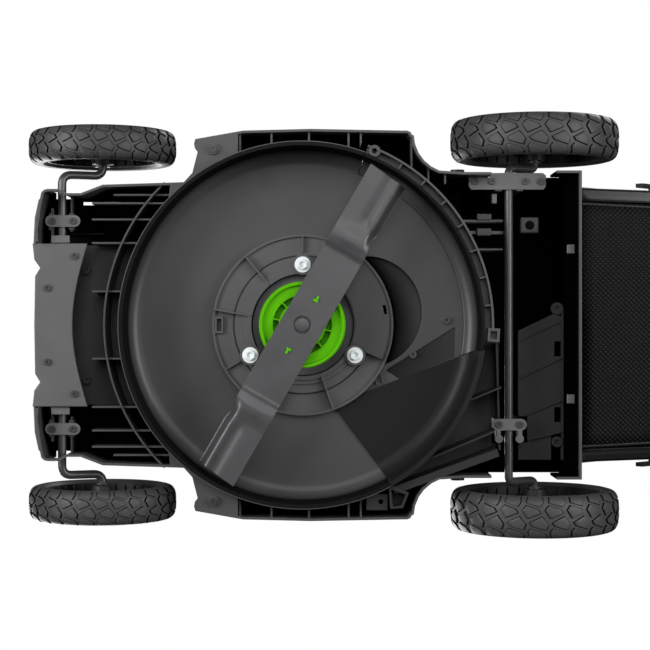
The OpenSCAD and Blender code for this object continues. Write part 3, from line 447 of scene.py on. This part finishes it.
def join_and_face_out(obj):
    """Joins double vertices and turns every face outwards."""
    mesh = bmesh.new()
    mesh.from_mesh(obj.data)
    bmesh.ops.remove_doubles(mesh, verts=mesh.verts, dist=SAME_POINT)
    bmesh.ops.recalc_face_normals(mesh, faces=mesh.faces)
    mesh.to_mesh(obj.data)
    mesh.free()


def circle(count):
    """Evenly spaced angles of one full turn."""
    return [math.tau * k / count for k in range(count)]


def round_corners(points, radius, steps=8):
    """A path whose inner corners are rounded."""
    path = [points[0]]
    for before, corner, after in zip(points, points[1:], points[2:]):
        a, b = (before - corner).normalized(), (after - corner).normalized()
        half = a.angle(b) / 2
        longest = [(before - corner).length * 0.49, (after - corner).length * 0.49]
        cut = min(radius / math.tan(half), *longest)
        start, end = corner + a * cut, corner + b * cut
        for i in range(steps + 1):
            t = i / steps
            path.append(start * (1 - t) ** 2 + corner * 2 * t * (1 - t) + end * t * t)
    path.append(points[-1])
    return path


def sweep(shape, path, radii, sides=20):
    """A round tube along a path, closed at both ends; radii is one number or one for each point."""
    if isinstance(radii, (int, float)):
        radii = [radii] * len(path)
    rows, side = [], None
    for i, point in enumerate(path):
        along = (path[min(i + 1, len(path) - 1)] - path[max(i - 1, 0)]).normalized()
        if side is None:
            side = along.orthogonal().normalized()
        side = (side - along * side.dot(along)).normalized()
        up = along.cross(side)
        rows.append([point + (side * math.cos(a) + up * math.sin(a)) * radii[i] for a in circle(sides)])
    base = len(shape.verts)
    shape.grid(rows, wrap_column=True)
    last = base + (len(rows) - 1) * sides
    shape.faces.append(tuple(range(base, base + sides)))
    shape.faces.append(tuple(range(last, last + sides)))


def smooth(a, b, t):
    """0 at a and 1 at b, with a soft start and end."""
    t = min(1, max(0, (t - a) / (b - a)))
    return t * t * (3 - 2 * t)


def mix(a, b, t):
    return a + (b - a) * t


def bell(middle, width, t):
    return math.exp(-((t - middle) / width) ** 2)


def apply_modifiers(obj):
    graph = bpy.context.evaluated_depsgraph_get()
    final = bpy.data.meshes.new_from_object(obj.evaluated_get(graph))
    obj.modifiers.clear()
    obj.data = final


def thicken(piece, thickness, offset):
    """Gives a sheet its thickness; offset is 0 for both ways and -1 for against its normals."""
    thick = piece.modifiers.new("thickness", "SOLIDIFY")
    thick.thickness = thickness
    thick.offset = offset
    apply_modifiers(piece)


# ---------------------------------------------------------------- blade, in millimetres
BLADE_TURN = math.radians(30)
HALF_LENGTH, HALF_WIDTH = 206, 25
MIDDLE_HEIGHT, ARM_HEIGHT = 35, 31.6
BLADE_THICKNESS, GROUND_OFF = 3, 1.9
BULGE, GROOVE, RIDGE, SAIL = 3.4, 2.4, 1.0, 12.5
SLANT, WAIST = 0.1, 0.1
BORE_RADIUS = 10.9
# places along half the blade, and across it from the cutting edge to the sail
STATIONS = [0, 40, 80, 92, *range(95, 152, 2), *range(156, 203, 5), 204.8, HALF_LENGTH]
ACROSS = [-25, -24, -20, -14, -8, -4, -1, 2, 5, 8, 10.5, 13, 15, 17, 19, 21, 23, 24.2, 25]


def blade_under(r, v):
    """Height of the blade's underside at a distance r from the axis and v across."""
    z = mix(MIDDLE_HEIGHT, ARM_HEIGHT, smooth(96, 103.5, r))
    z -= BULGE * smooth(101, 114, r) * (1 - smooth(118, 136, r)) * (1 - 0.45 * (v / HALF_WIDTH) ** 2)
    z += GROOVE * smooth(130, 148, r) * bell(5, 6, v)
    z -= RIDGE * smooth(126, 146, r) * bell(14, 3.5, v)
    z += SAIL * smooth(110, 138, r) * smooth(15, HALF_WIDTH, v) ** 1.3
    return z


def blade_section(side, r):
    """The closed ring of points round the blade at one station of one half."""
    low, high = [], []
    for v in ACROSS:
        reach = r - SLANT * (v + HALF_WIDTH) * smooth(170, HALF_LENGTH, r)
        waist = 1 - WAIST * smooth(104, 124, r) * (1 - smooth(126, 144, r)) * (v > 0)
        thick = BLADE_THICKNESS
        if v < 0:
            thick -= GROUND_OFF * smooth(-19, -HALF_WIDTH, v) * smooth(120, 135, r)
        z = blade_under(r, v)
        turned = Vector((side * reach, side * v * waist, 0))
        turned.rotate(Matrix.Rotation(BLADE_TURN, 3, "Z"))
        low.append(deck_point(turned.x, turned.y, z))
        high.append(deck_point(turned.x, turned.y, z + thick))
    if side < 0:
        low.reverse()
        high.reverse()
    return [*low, *reversed(high)]


def bore_through(piece):
    """Cuts the round hole in the middle of the blade."""
    bore = Shape()
    sweep(bore, [deck_point(0, 0, 25), deck_point(0, 0, 50)], BORE_RADIUS * MM, 40)
    cutter = bore.build("blade_bore", MATERIALS["blade_steel"])
    cut = piece.modifiers.new("bore", "BOOLEAN")
    cut.operation = "DIFFERENCE"
    cut.object = cutter
    apply_modifiers(piece)
    bpy.data.objects.remove(cutter)
    piece.data.set_sharp_from_angle(angle=math.radians(35))


def blade():
    """The bar blade: flat middle, a bend on each side, then a ground edge and a raised sail."""
    ring = [blade_section(-1, r) for r in reversed(STATIONS)]
    ring += [blade_section(1, r) for r in STATIONS[1:]]
    shape = Shape()
    shape.grid(ring, wrap_column=True)
    n = len(ring[0])
    for base in (0, (len(ring) - 1) * n):
        for j in range(len(ACROSS) - 1):
            shape.faces.append((base + j, base + j + 1, base + n - 2 - j, base + n - 1 - j))
    piece = shape.build("blade_bar", MATERIALS["blade_steel"], 40)
    bore_through(piece)
    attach(piece, "blade_group")
    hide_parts("blade")


def lathe(name, profile, mat, sides=48, angle=30):
    """Turns (radius, height) pairs in millimetres about the blade axis."""
    shape = Shape()
    shape.grid([[deck_point(r * math.cos(a), r * math.sin(a), z) for a in circle(sides)] for r, z in profile],
               wrap_column=True)
    return shape.build(name, mat, angle)


def blade_hub():
    """Dished retaining disc in the blade's bore."""
    profile = [(0.05, 34.7), (6.8, 34.7), (7.9, 35.0), (8.6, 36.6), (9.1, 36.8), (10.85, 35.1), (10.85, 38.0),
               (0.05, 38.0)]
    disc = lathe("blade_disc", profile, MATERIALS["blade_steel"])
    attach(disc, "blade_group")
    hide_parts("blade_bolt")


blade()
blade_hub()


# ---------------------------------------------------------------- wheels, in millimetres
# one repeat of the tread, along and across a tyre of TREAD_WIDTH
TREAD_BLOCKS = [
    [(0, 9.0), (4.5, 14.6), (18.8, 10.3), (22.0, 5.8), (6.5, -0.4)],
    [(8.4, -5.1), (23.3, 1.9), (31.1, -7.1), (28.5, -13.8), (11.7, -9.2)],
    [(4.8, 17.2), (21.6, 12.9), (24.9, 17.9), (24.6, 23.6), (5.5, 23.6)],
    [(6.5, -15.6), (9.7, -11.9), (24.6, -16.4), (28.8, -20.5), (27.5, -23.6), (8.5, -23.6)],
]
# each ring of a tread block: its share of the outline, and of the tread's depth
BLOCK_RINGS = [(1.08, -0.1), (0.95, 0.9), (0.9, 1.0), (0.5, 1.0)]
TREAD_PITCH, TREAD_WIDTH, TREAD_DEPTH = 26.8, 49, 2.0
EDGE_STEPS, PROFILE_STEPS, STEPS_PER_COLUMN = 3, 26, 4
# how far the tread reaches across, and where its groove starts to come up, as shares of the half width
CARCASS_REACH, BLOCK_REACH, GROOVE_REACH = 0.995, 0.985, 0.93
SHOULDER, BEAD, SIDEWALL = 15, 21, 17.6
RIM_RIBS, RIM_RIB_THICKNESS, RIM_WALL, RIB_ROOT = 30, 1.0, 3.4, 0.6
# a rim rib's outline: distance from the tyre's inner side, and height
RIM_RIB = [(5.5, 0.6), (8, 2.4), (19, 2.4), (22, 0.6)]


class Wheel:
    """Sizes of one tyre node, and points on it."""

    def __init__(self, node, hand):
        low, high, self.mid = node_box(node)
        self.radius = (high.z - low.z) / 2 / MM
        self.half_width = (high.x - low.x) / MM / 2
        self.outward = 1 if self.mid.x > 0 else -1
        self.hand = hand
        self.stretch = self.half_width * 2 / TREAD_WIDTH

    def point(self, angle, x, radius):
        return Vector((self.mid.x + self.outward * x * MM, self.mid.y + radius * math.sin(angle) * MM,
                       self.mid.z - radius * math.cos(angle) * MM))

    def crown(self, x):
        """Outer radius at a distance x from the tyre's middle."""
        t = min(1, abs(x) / self.half_width)
        return self.radius - SHOULDER + SHOULDER * (1 - t ** 3) ** (1 / 3)


def tyre_carcass(shape, wheel, columns):
    """The tyre without its blocks: beads, side walls and the bottom of the grooves."""
    r, half = wheel.radius, wheel.half_width
    bead = [(r - BEAD, half - 4), (r - BEAD + 1.2, half - 2.6), (r - SIDEWALL, half - 0.6)]
    profile = [(radius, -x) for radius, x in bead]
    for i in range(PROFILE_STEPS + 1):
        x = (-1 + 2 * i / PROFILE_STEPS) * half * CARCASS_REACH
        sunk = TREAD_DEPTH * smooth(BLOCK_REACH, GROOVE_REACH, abs(x) / half)
        profile.append((wheel.crown(x) - sunk, x))
    profile += reversed(bead)
    rows = [[wheel.point(a, x, radius) for radius, x in profile] for a in circle(columns * STEPS_PER_COLUMN)]
    shape.grid(rows, wrap_row=True, wrap_column=True)


def tread_block(shape, wheel, columns, outline):
    """One kind of tread block, repeated round the tyre."""
    edge = []
    for (u0, v0), (u1, v1) in zip(outline, outline[1:] + outline[:1]):
        edge += [(mix(u0, u1, k / EDGE_STEPS), mix(v0, v1, k / EDGE_STEPS)) for k in range(EDGE_STEPS)]
    cu = sum(u for u, v in edge) / len(edge)
    cv = sum(v for u, v in edge) / len(edge)
    limit = wheel.half_width * BLOCK_REACH
    step = math.tau / columns
    for column in range(columns):
        rows = []
        for share, lift in BLOCK_RINGS:
            row = []
            for u, v in edge:
                along = cu + (u - cu) * share
                across = (cv + (v - cv) * share) * wheel.stretch * wheel.hand
                across = max(-limit, min(limit, across))
                radius = wheel.crown(across) - TREAD_DEPTH * (1 - lift)
                row.append(wheel.point(step * (column + along / TREAD_PITCH), across, radius))
            rows.append(row)
        n = len(edge)
        start = len(shape.verts) + (len(BLOCK_RINGS) - 1) * n
        shape.grid(rows, wrap_column=True)
        top = wheel.point(step * (column + cu / TREAD_PITCH), cv * wheel.stretch * wheel.hand,
                          wheel.crown(cv * wheel.stretch))
        centre = len(shape.verts)
        shape.verts.append(tuple(top))
        shape.faces += [(start + j, start + (j + 1) % n, centre) for j in range(n)]


def paint_block_side_shade(piece, wheel):
    """Paints shade on the sides of the tread blocks, in the near-black material."""
    piece.data.materials.append(dark_painted_shade)
    for face in piece.data.polygons:
        x = abs(face.center.x - wheel.mid.x) / MM
        radius = math.hypot(face.center.y - wheel.mid.y, face.center.z - wheel.mid.z) / MM
        sunk = (wheel.crown(x) - radius) / TREAD_DEPTH
        # the block sides get painted shade
        if x < wheel.half_width * 0.95 and 0.15 < sunk < 0.9:
            face.material_index = 1


def tyre(node, body, columns, hand):
    wheel = Wheel(node, hand)
    shape = Shape()
    tyre_carcass(shape, wheel, columns)
    for outline in TREAD_BLOCKS:
        tread_block(shape, wheel, columns, outline)
    piece = shape.build(node + "_treaded", MATERIALS["tyre_rubber"], 32)
    paint_block_side_shade(piece, wheel)
    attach(piece, body)
    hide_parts(node)
    rim_ribs(node.replace("tyre", "rim") + "_ribs", body, wheel)


def rim_ribs(name, body, wheel):
    """Stiffening ribs inside the rim."""
    ribs = Shape()
    inner = wheel.radius - BEAD - RIM_WALL
    faces = [(0, 1, 3, 2), (12, 13, 15, 14)]
    for s in (0, 4, 8):
        faces += [(s, s + 1, s + 5, s + 4), (s + 2, s + 3, s + 7, s + 6), (s + 1, s + 3, s + 7, s + 5),
                  (s, s + 2, s + 6, s + 4)]
    for k in range(RIM_RIBS):
        a = math.tau * (k + 0.5) / RIM_RIBS
        out, along = Vector((0, math.sin(a), -math.cos(a))), Vector((0, math.cos(a), math.sin(a)))
        corners = []
        for across, height in RIM_RIB:
            foot = wheel.mid + Vector((wheel.outward * (across - wheel.half_width), 0, 0)) * MM
            for side in (-RIM_RIB_THICKNESS / 2, RIM_RIB_THICKNESS / 2):
                for reach in (inner + RIB_ROOT, inner - height):
                    corners.append(foot + (out * reach + along * side) * MM)
        ribs.add(corners, faces)
    piece = ribs.build(name, MATERIALS["rim_plastic"], 30)
    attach(piece, body)


for end, columns in (("front", 26), ("rear", 24)):
    for side, hand in (("left", 1), ("right", -1)):
        tyre(f"tyre_{end}_{side}", f"wheel_{end}_{side}", columns, hand)


# ---------------------------------------------------------------- bent axle rods, in millimetres
ROD_RADIUS, SLEEVE_RADIUS, LUG_RADIUS = 5.1, 6, 3.4
LUG_X = 106


def bent_axle(node, body, rod, arm_x, axle, stub_end, bend, lug_top):
    """A rod across the deck, cranked at both ends to the wheels' stubs, with the link's lug.
    rod and axle are (y, z) places."""
    shape = Shape()
    for side in (-1, 1):
        points = [deck_point(0, *rod), deck_point(side * (arm_x - 0.5), *rod),
                  deck_point(side * arm_x, *axle), deck_point(side * stub_end, *axle)]
        sweep(shape, round_corners(points, bend * MM, 10), ROD_RADIUS * MM)
        sleeve = [deck_point(side * x, *axle) for x in (arm_x + 13, arm_x + 14, stub_end - 1.5, stub_end)]
        sweep(shape, sleeve, [5.2 * MM, SLEEVE_RADIUS * MM, SLEEVE_RADIUS * MM, 5.2 * MM], 28)
    sweep(shape, [deck_point(LUG_X, *rod), deck_point(LUG_X, rod[0], lug_top)], LUG_RADIUS * MM, 16)
    piece = shape.build(node + "_bent", MATERIALS["axle_steel"], 50)
    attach(piece, body)
    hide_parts(node)


bent_axle("front_axle", "front_crank", rod=(-289, 66), arm_x=181, axle=(-243, 89), stub_end=227, bend=12,
          lug_top=101)
bent_axle("rear_axle", "rear_crank", rod=(249, 77), arm_x=190, axle=(283, 102.5), stub_end=240, bend=8,
          lug_top=107)


# ---------------------------------------------------------------- grass bag, in millimetres
BAG_Y, BAG_LENGTH, BAG_FLOOR, BAG_TOP, FLOOR_RISE = 336, 430, 138, 233, 26
BAG_REAR = BAG_Y + BAG_LENGTH - 14
CORNER = 34
# half widths at the floor's seam and at the hard rim
SEAM_FRONT, SEAM_REAR, RIM_FRONT, RIM_REAR = 154, 142, 171, 157
REAR_LEAN = 12
# heights of the wall's rows, as shares of the wall
LEVELS = [1, 0.9, 0.78, 0.64, 0.5, 0.36, 0.24, 0.14, 0.07, 0.03, 0.0]
PULL, FOLD, TUCK = 4.5, 1.6, 7
SAG, RIPPLE, FLOOR_STEPS = 8.5, 0.9, 22
FABRIC = 0.9
# the side panel's section: height up the wall, and how far it stands off the fabric
PANEL_SECTION = [(0.04, 1.6), (0.07, 3.0), (0.3, 3.6), (0.58, 4.4), (0.66, 7.4), (0.72, 7.6), (0.76, 5.2),
                 (0.9, 5.4), (0.93, 8.0), (0.985, 8.2), (0.985, 5.4)]


def bag_outline(half_front, half_rear, y_front, y_rear, n=26):
    """Plan curve from the left front corner round the rear to the right front corner, as (x, y) points."""
    left = []
    for k in range(n):
        t = k / (n - 1)
        left.append((mix(half_front, half_rear, t), mix(y_front, y_rear - CORNER, t)))
    for k in range(1, 9):
        a = math.pi / 2 * k / 8
        left.append((half_rear - CORNER + CORNER * math.cos(a), y_rear - CORNER + CORNER * math.sin(a)))
    for k in range(1, 7):
        left.append((mix(half_rear - CORNER, 0, k / 6), y_rear + 2.5 * smooth(0, 1, k / 6)))
    return left + [(-x, y) for x, y in reversed(left[:-1])]


def bag_plan(level, front, off=0):
    """The bag's outline at a height up its wall, moved outwards by off."""
    return bag_outline(mix(SEAM_FRONT, RIM_FRONT, level) + off, mix(SEAM_REAR, RIM_REAR, level) + off, front,
                       mix(BAG_REAR - REAR_LEAN, BAG_REAR, level) + off * 0.6)


def bag_height(y, level):
    return mix(mix(BAG_FLOOR, BAG_FLOOR + FLOOR_RISE, (y - BAG_Y) / BAG_LENGTH), BAG_TOP, level)


def bag_walls():
    """Rows of points from the hard rim down to the floor's seam.
    The wall pulls in between the two, and hangs in slow folds."""
    front = BAG_Y + 9
    rows = []
    for level in LEVELS:
        plan = bag_plan(level, front)
        tuck = TUCK * (1 - smooth(0.0, 0.12, level))
        row = []
        for i, (x, y) in enumerate(plan):
            along = i / (len(plan) - 1)
            pull = PULL * math.sin(math.pi * level) * (1 - 0.6 * abs(2 * along - 1))
            fold = FOLD * noise.noise(Vector((along * 22, level * 1.5, 3))) * math.sin(math.pi * level)
            inward = Vector((-x, (front + BAG_REAR) / 2 - y)).normalized() * (pull + fold + tuck)
            row.append(deck_point(x + inward.x, y + inward.y * 0.6, bag_height(y, level)))
        rows.append(row)
    return rows


def bag_floor(seam):
    """Joins each point of the seam to its partner on the other side, and sags between them."""
    middle = len(seam) // 2
    floor = []
    for i in range(middle + 1):
        a, b = seam[i], seam[-1 - i]
        line = []
        for k in range(FLOOR_STEPS + 1):
            t = k / FLOOR_STEPS
            p = a.lerp(b, t)
            back = (p.y - seam[0].y) / (seam[middle].y - seam[0].y)
            back = min(1, max(0, back * 0.94 + 0.03))
            sag = SAG * math.sin(math.pi * t) ** 0.7 * math.sin(math.pi * back) ** 0.7
            ripple = RIPPLE * noise.noise(Vector((p.x * 14, p.y * 9, 1))) * math.sin(math.pi * t)
            line.append(p - Vector((0, 0, (sag + ripple) * MM)))
        floor.append(line)
    return floor


def bag_fabric():
    """The mesh tub, and the rows of its wall."""
    rows = bag_walls()
    shape = Shape()
    shape.grid(rows)
    shape.grid(bag_floor(rows[-1]))
    piece = shape.build("bag_mesh_tub", MATERIALS["bag_mesh"], 80)
    thicken(piece, FABRIC * MM, 0)
    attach(piece, "bag")
    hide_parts("bag_fabric")
    return piece, rows


tub, tub_rows = bag_fabric()


def bag_trim():
    """Piping along the floor's seam and the smooth side panels with their two ridges."""
    piping = Shape()
    seam = [p - Vector((0, 0, 0.6 * MM)) for p in tub_rows[-2]]
    sweep(piping, seam, 2.3 * MM, 12)
    cord = piping.build("bag_piping", MATERIALS["shroud_plastic"], 60)
    panel = Shape()
    rows = []
    for level, off in PANEL_SECTION:
        rows.append([deck_point(x, y, bag_height(y, level)) for x, y in bag_plan(level, BAG_Y + 8.6, off)])
    panel.grid(rows)
    rail = panel.build("bag_side_panel", panel_finish, 25)
    thicken(rail, 1.6 * MM, -1)
    for piece, slot in ((cord, "shroud_plastic"), (rail, "battery_plastic")):
        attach(piece, "bag")
    return cord


piping = bag_trim()


# ---------------------------------------------------------------- foam grip
GRIP_STEPS, GRIP_SIDES = 96, 40
GRIP_BORE = 0.0112
GRIP_WAVE_MM = 6.2


def foam_grip():
    """A foam sleeve with rounded ends and shallow rings, round the handle bar."""
    low, high, mid = node_box("hand_grip")
    half = (high.x - low.x) / 2
    radius = (high.z - low.z) / 2

    def ring(t, r):
        return [mid + Vector((t * half, r * math.cos(a), r * math.sin(a))) for a in circle(GRIP_SIDES)]

    rows = []
    for i in range(GRIP_STEPS + 1):
        t = -1 + 2 * i / GRIP_STEPS
        end = 1 - smooth(0.965, 1.0, abs(t)) * 0.16
        swell = 0.965 + 0.035 * math.cos(t * math.pi * 0.5)
        wave = 0.010 * math.cos(t * half / MM / GRIP_WAVE_MM * math.tau) * (1 - smooth(0.86, 0.92, abs(t)))
        rows.append(ring(t, radius * min(1.0, (swell + wave) * end)))
    shape = Shape()
    shape.grid(rows + [ring(1, GRIP_BORE), ring(-1, GRIP_BORE)], wrap_row=True, wrap_column=True)
    piece = shape.build("foam_grip", MATERIALS["foam_rubber"], 50)
    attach(piece, "handle_top")
    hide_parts("hand_grip")


foam_grip()


# ---------------------------------------------------------------- small pieces under the deck, in millimetres
# name, lowest and highest corner from the blade axis, material slot
REAR_BLOCKS = [
    ("apron_clip_left", (85.5, 317, 58), (96.5, 326.3, 64), "bracket_metal"),
    ("apron_clip_right", (-94.1, 317, 58), (-83.1, 326.3, 64), "bracket_metal"),
    ("switch_block", (111.5, 264, 86), (131, 287, 99), "cover_plastic"),
    ("cable_clamp_outer", (127, 211, 84), (135, 229, 94), "cover_plastic"),
    ("cable_clamp_inner", (108, 211, 84), (117.6, 229, 94), "cover_plastic"),
    ("switch_plunger", (147, 229, 80), (159, 235, 94), "bracket_metal"),
]
FRONT_BLOCKS = [
    ("rod_latch_left", (98, -300, 52), (107, -278, 56), "bracket_metal"),
    ("rod_latch_right", (-107, -300, 52), (-98, -278, 56), "bracket_metal"),
]


def block(name, low, high, slot):
    """A small bevelled block between two points given from the blade axis."""
    bpy.ops.mesh.primitive_cube_add(size=1)
    piece = bpy.context.object
    piece.name = name
    a, b = deck_point(*low), deck_point(*high)
    piece.location = (a + b) / 2
    piece.scale = b - a
    bpy.ops.object.transform_apply(location=False, rotation=False, scale=True)
    edge = piece.modifiers.new("edge", "BEVEL")
    edge.width = min(b - a) * 0.16
    edge.segments = 3
    apply_modifiers(piece)
    give(piece, MATERIALS[slot])
    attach(piece, "deck")


def rods():
    """Two thin tie rods beside the rear axle, and a black disc as painted shade in the switch block's bore.
    """
    ties = Shape()
    sweep(ties, [deck_point(126, 184, 91), deck_point(126, 243, 87)], 2.6 * MM)
    sweep(ties, [deck_point(91.5, 205, 91), deck_point(91.5, 243, 87)], 2.2 * MM)
    tie = ties.build("tie_rods", MATERIALS["axle_steel"])
    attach(tie, "deck")
    # a black disc painted as the shade in the bore, not a hole
    bore = Shape()
    sweep(bore, [deck_point(121, 275.5, 85.4), deck_point(121, 275.5, 86.5)], 5.5 * MM, 28)
    bore_shade_disc = bore.build("switch_bore_shade", dark_painted_shade)
    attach(bore_shade_disc, "deck")


for row in REAR_BLOCKS:
    block(*row)
rods()
for row in FRONT_BLOCKS:
    block(*row)


# ---------------------------------------------------------------- stage and lights
FLOOR_SIZE = 90
FLOOR_GREY = (0.42, 0.42, 0.42, 1)
FLOOR_GLOW = 0.5
WHITE = (1, 1, 1, 1)


def stage_floor():
    """Pale floor that is seen from above only, so that a view from below looks through it."""
    bpy.ops.mesh.primitive_plane_add(size=FLOOR_SIZE)
    floor = bpy.context.object
    floor.name = "stage_floor"
    g = Graph("stage_floor")
    g.shader.inputs["Base Color"].default_value = FLOOR_GREY
    g.shader.inputs["Emission Color"].default_value = WHITE
    g.shader.inputs["Emission Strength"].default_value = FLOOR_GLOW
    g.shader.inputs["Roughness"].default_value = 0.8
    underside = g.add("ShaderNodeNewGeometry").outputs["Backfacing"]
    g.blend_surface(underside, g.add("ShaderNodeBsdfTransparent"))
    give(floor, g.mat)
    floor.visible_shadow = False
    floor.visible_diffuse = False
    floor.visible_glossy = False


def area(name, place, target, size, power):
    """A square lamp that points at the target."""
    data = bpy.data.lights.new(name, "AREA")
    data.size = size
    data.energy = power
    lamp = bpy.data.objects.new(name, data)
    bpy.context.scene.collection.objects.link(lamp)
    lamp.location = place
    lamp.rotation_euler = (Vector(target) - Vector(place)).to_track_quat("-Z", "Y").to_euler()


def world(shown, lighting):
    """White behind everything, and a dimmer even light from all sides."""
    studio = bpy.data.worlds.new("studio")
    bpy.context.scene.world = studio
    studio.use_nodes = True
    tree = studio.node_tree
    back = tree.nodes["Background"]
    back.inputs["Color"].default_value = WHITE
    ray = tree.nodes.new("ShaderNodeLightPath")
    level = tree.nodes.new("ShaderNodeMapRange")
    level.inputs["To Min"].default_value = lighting
    level.inputs["To Max"].default_value = shown
    tree.links.new(ray.outputs["Is Camera Ray"], level.inputs["Value"])
    tree.links.new(level.outputs["Result"], back.inputs["Strength"])


stage_floor()
world(1.0, 0.08)
underside_middle = (0, blade_axis.y, 0.1)
area("under_front", (0.5, blade_axis.y - 2.1, -1.5), underside_middle, 1.4, 72)
area("under_rear", (0.4, blade_axis.y + 2.1, -1.4), underside_middle, 1.4, 48)
area("under_fill", (1.0, blade_axis.y + 0.2, -2.3), underside_middle, 1.8, 30)
area("top_key", (-1.4, -1.6, 2.6), (0, 0, 0.3), 2.0, 110)
area("top_rim", (1.8, 1.6, 2.2), (0, 0.2, 0.4), 1.4, 45)
bpy.context.scene.view_settings.view_transform = "Standard"
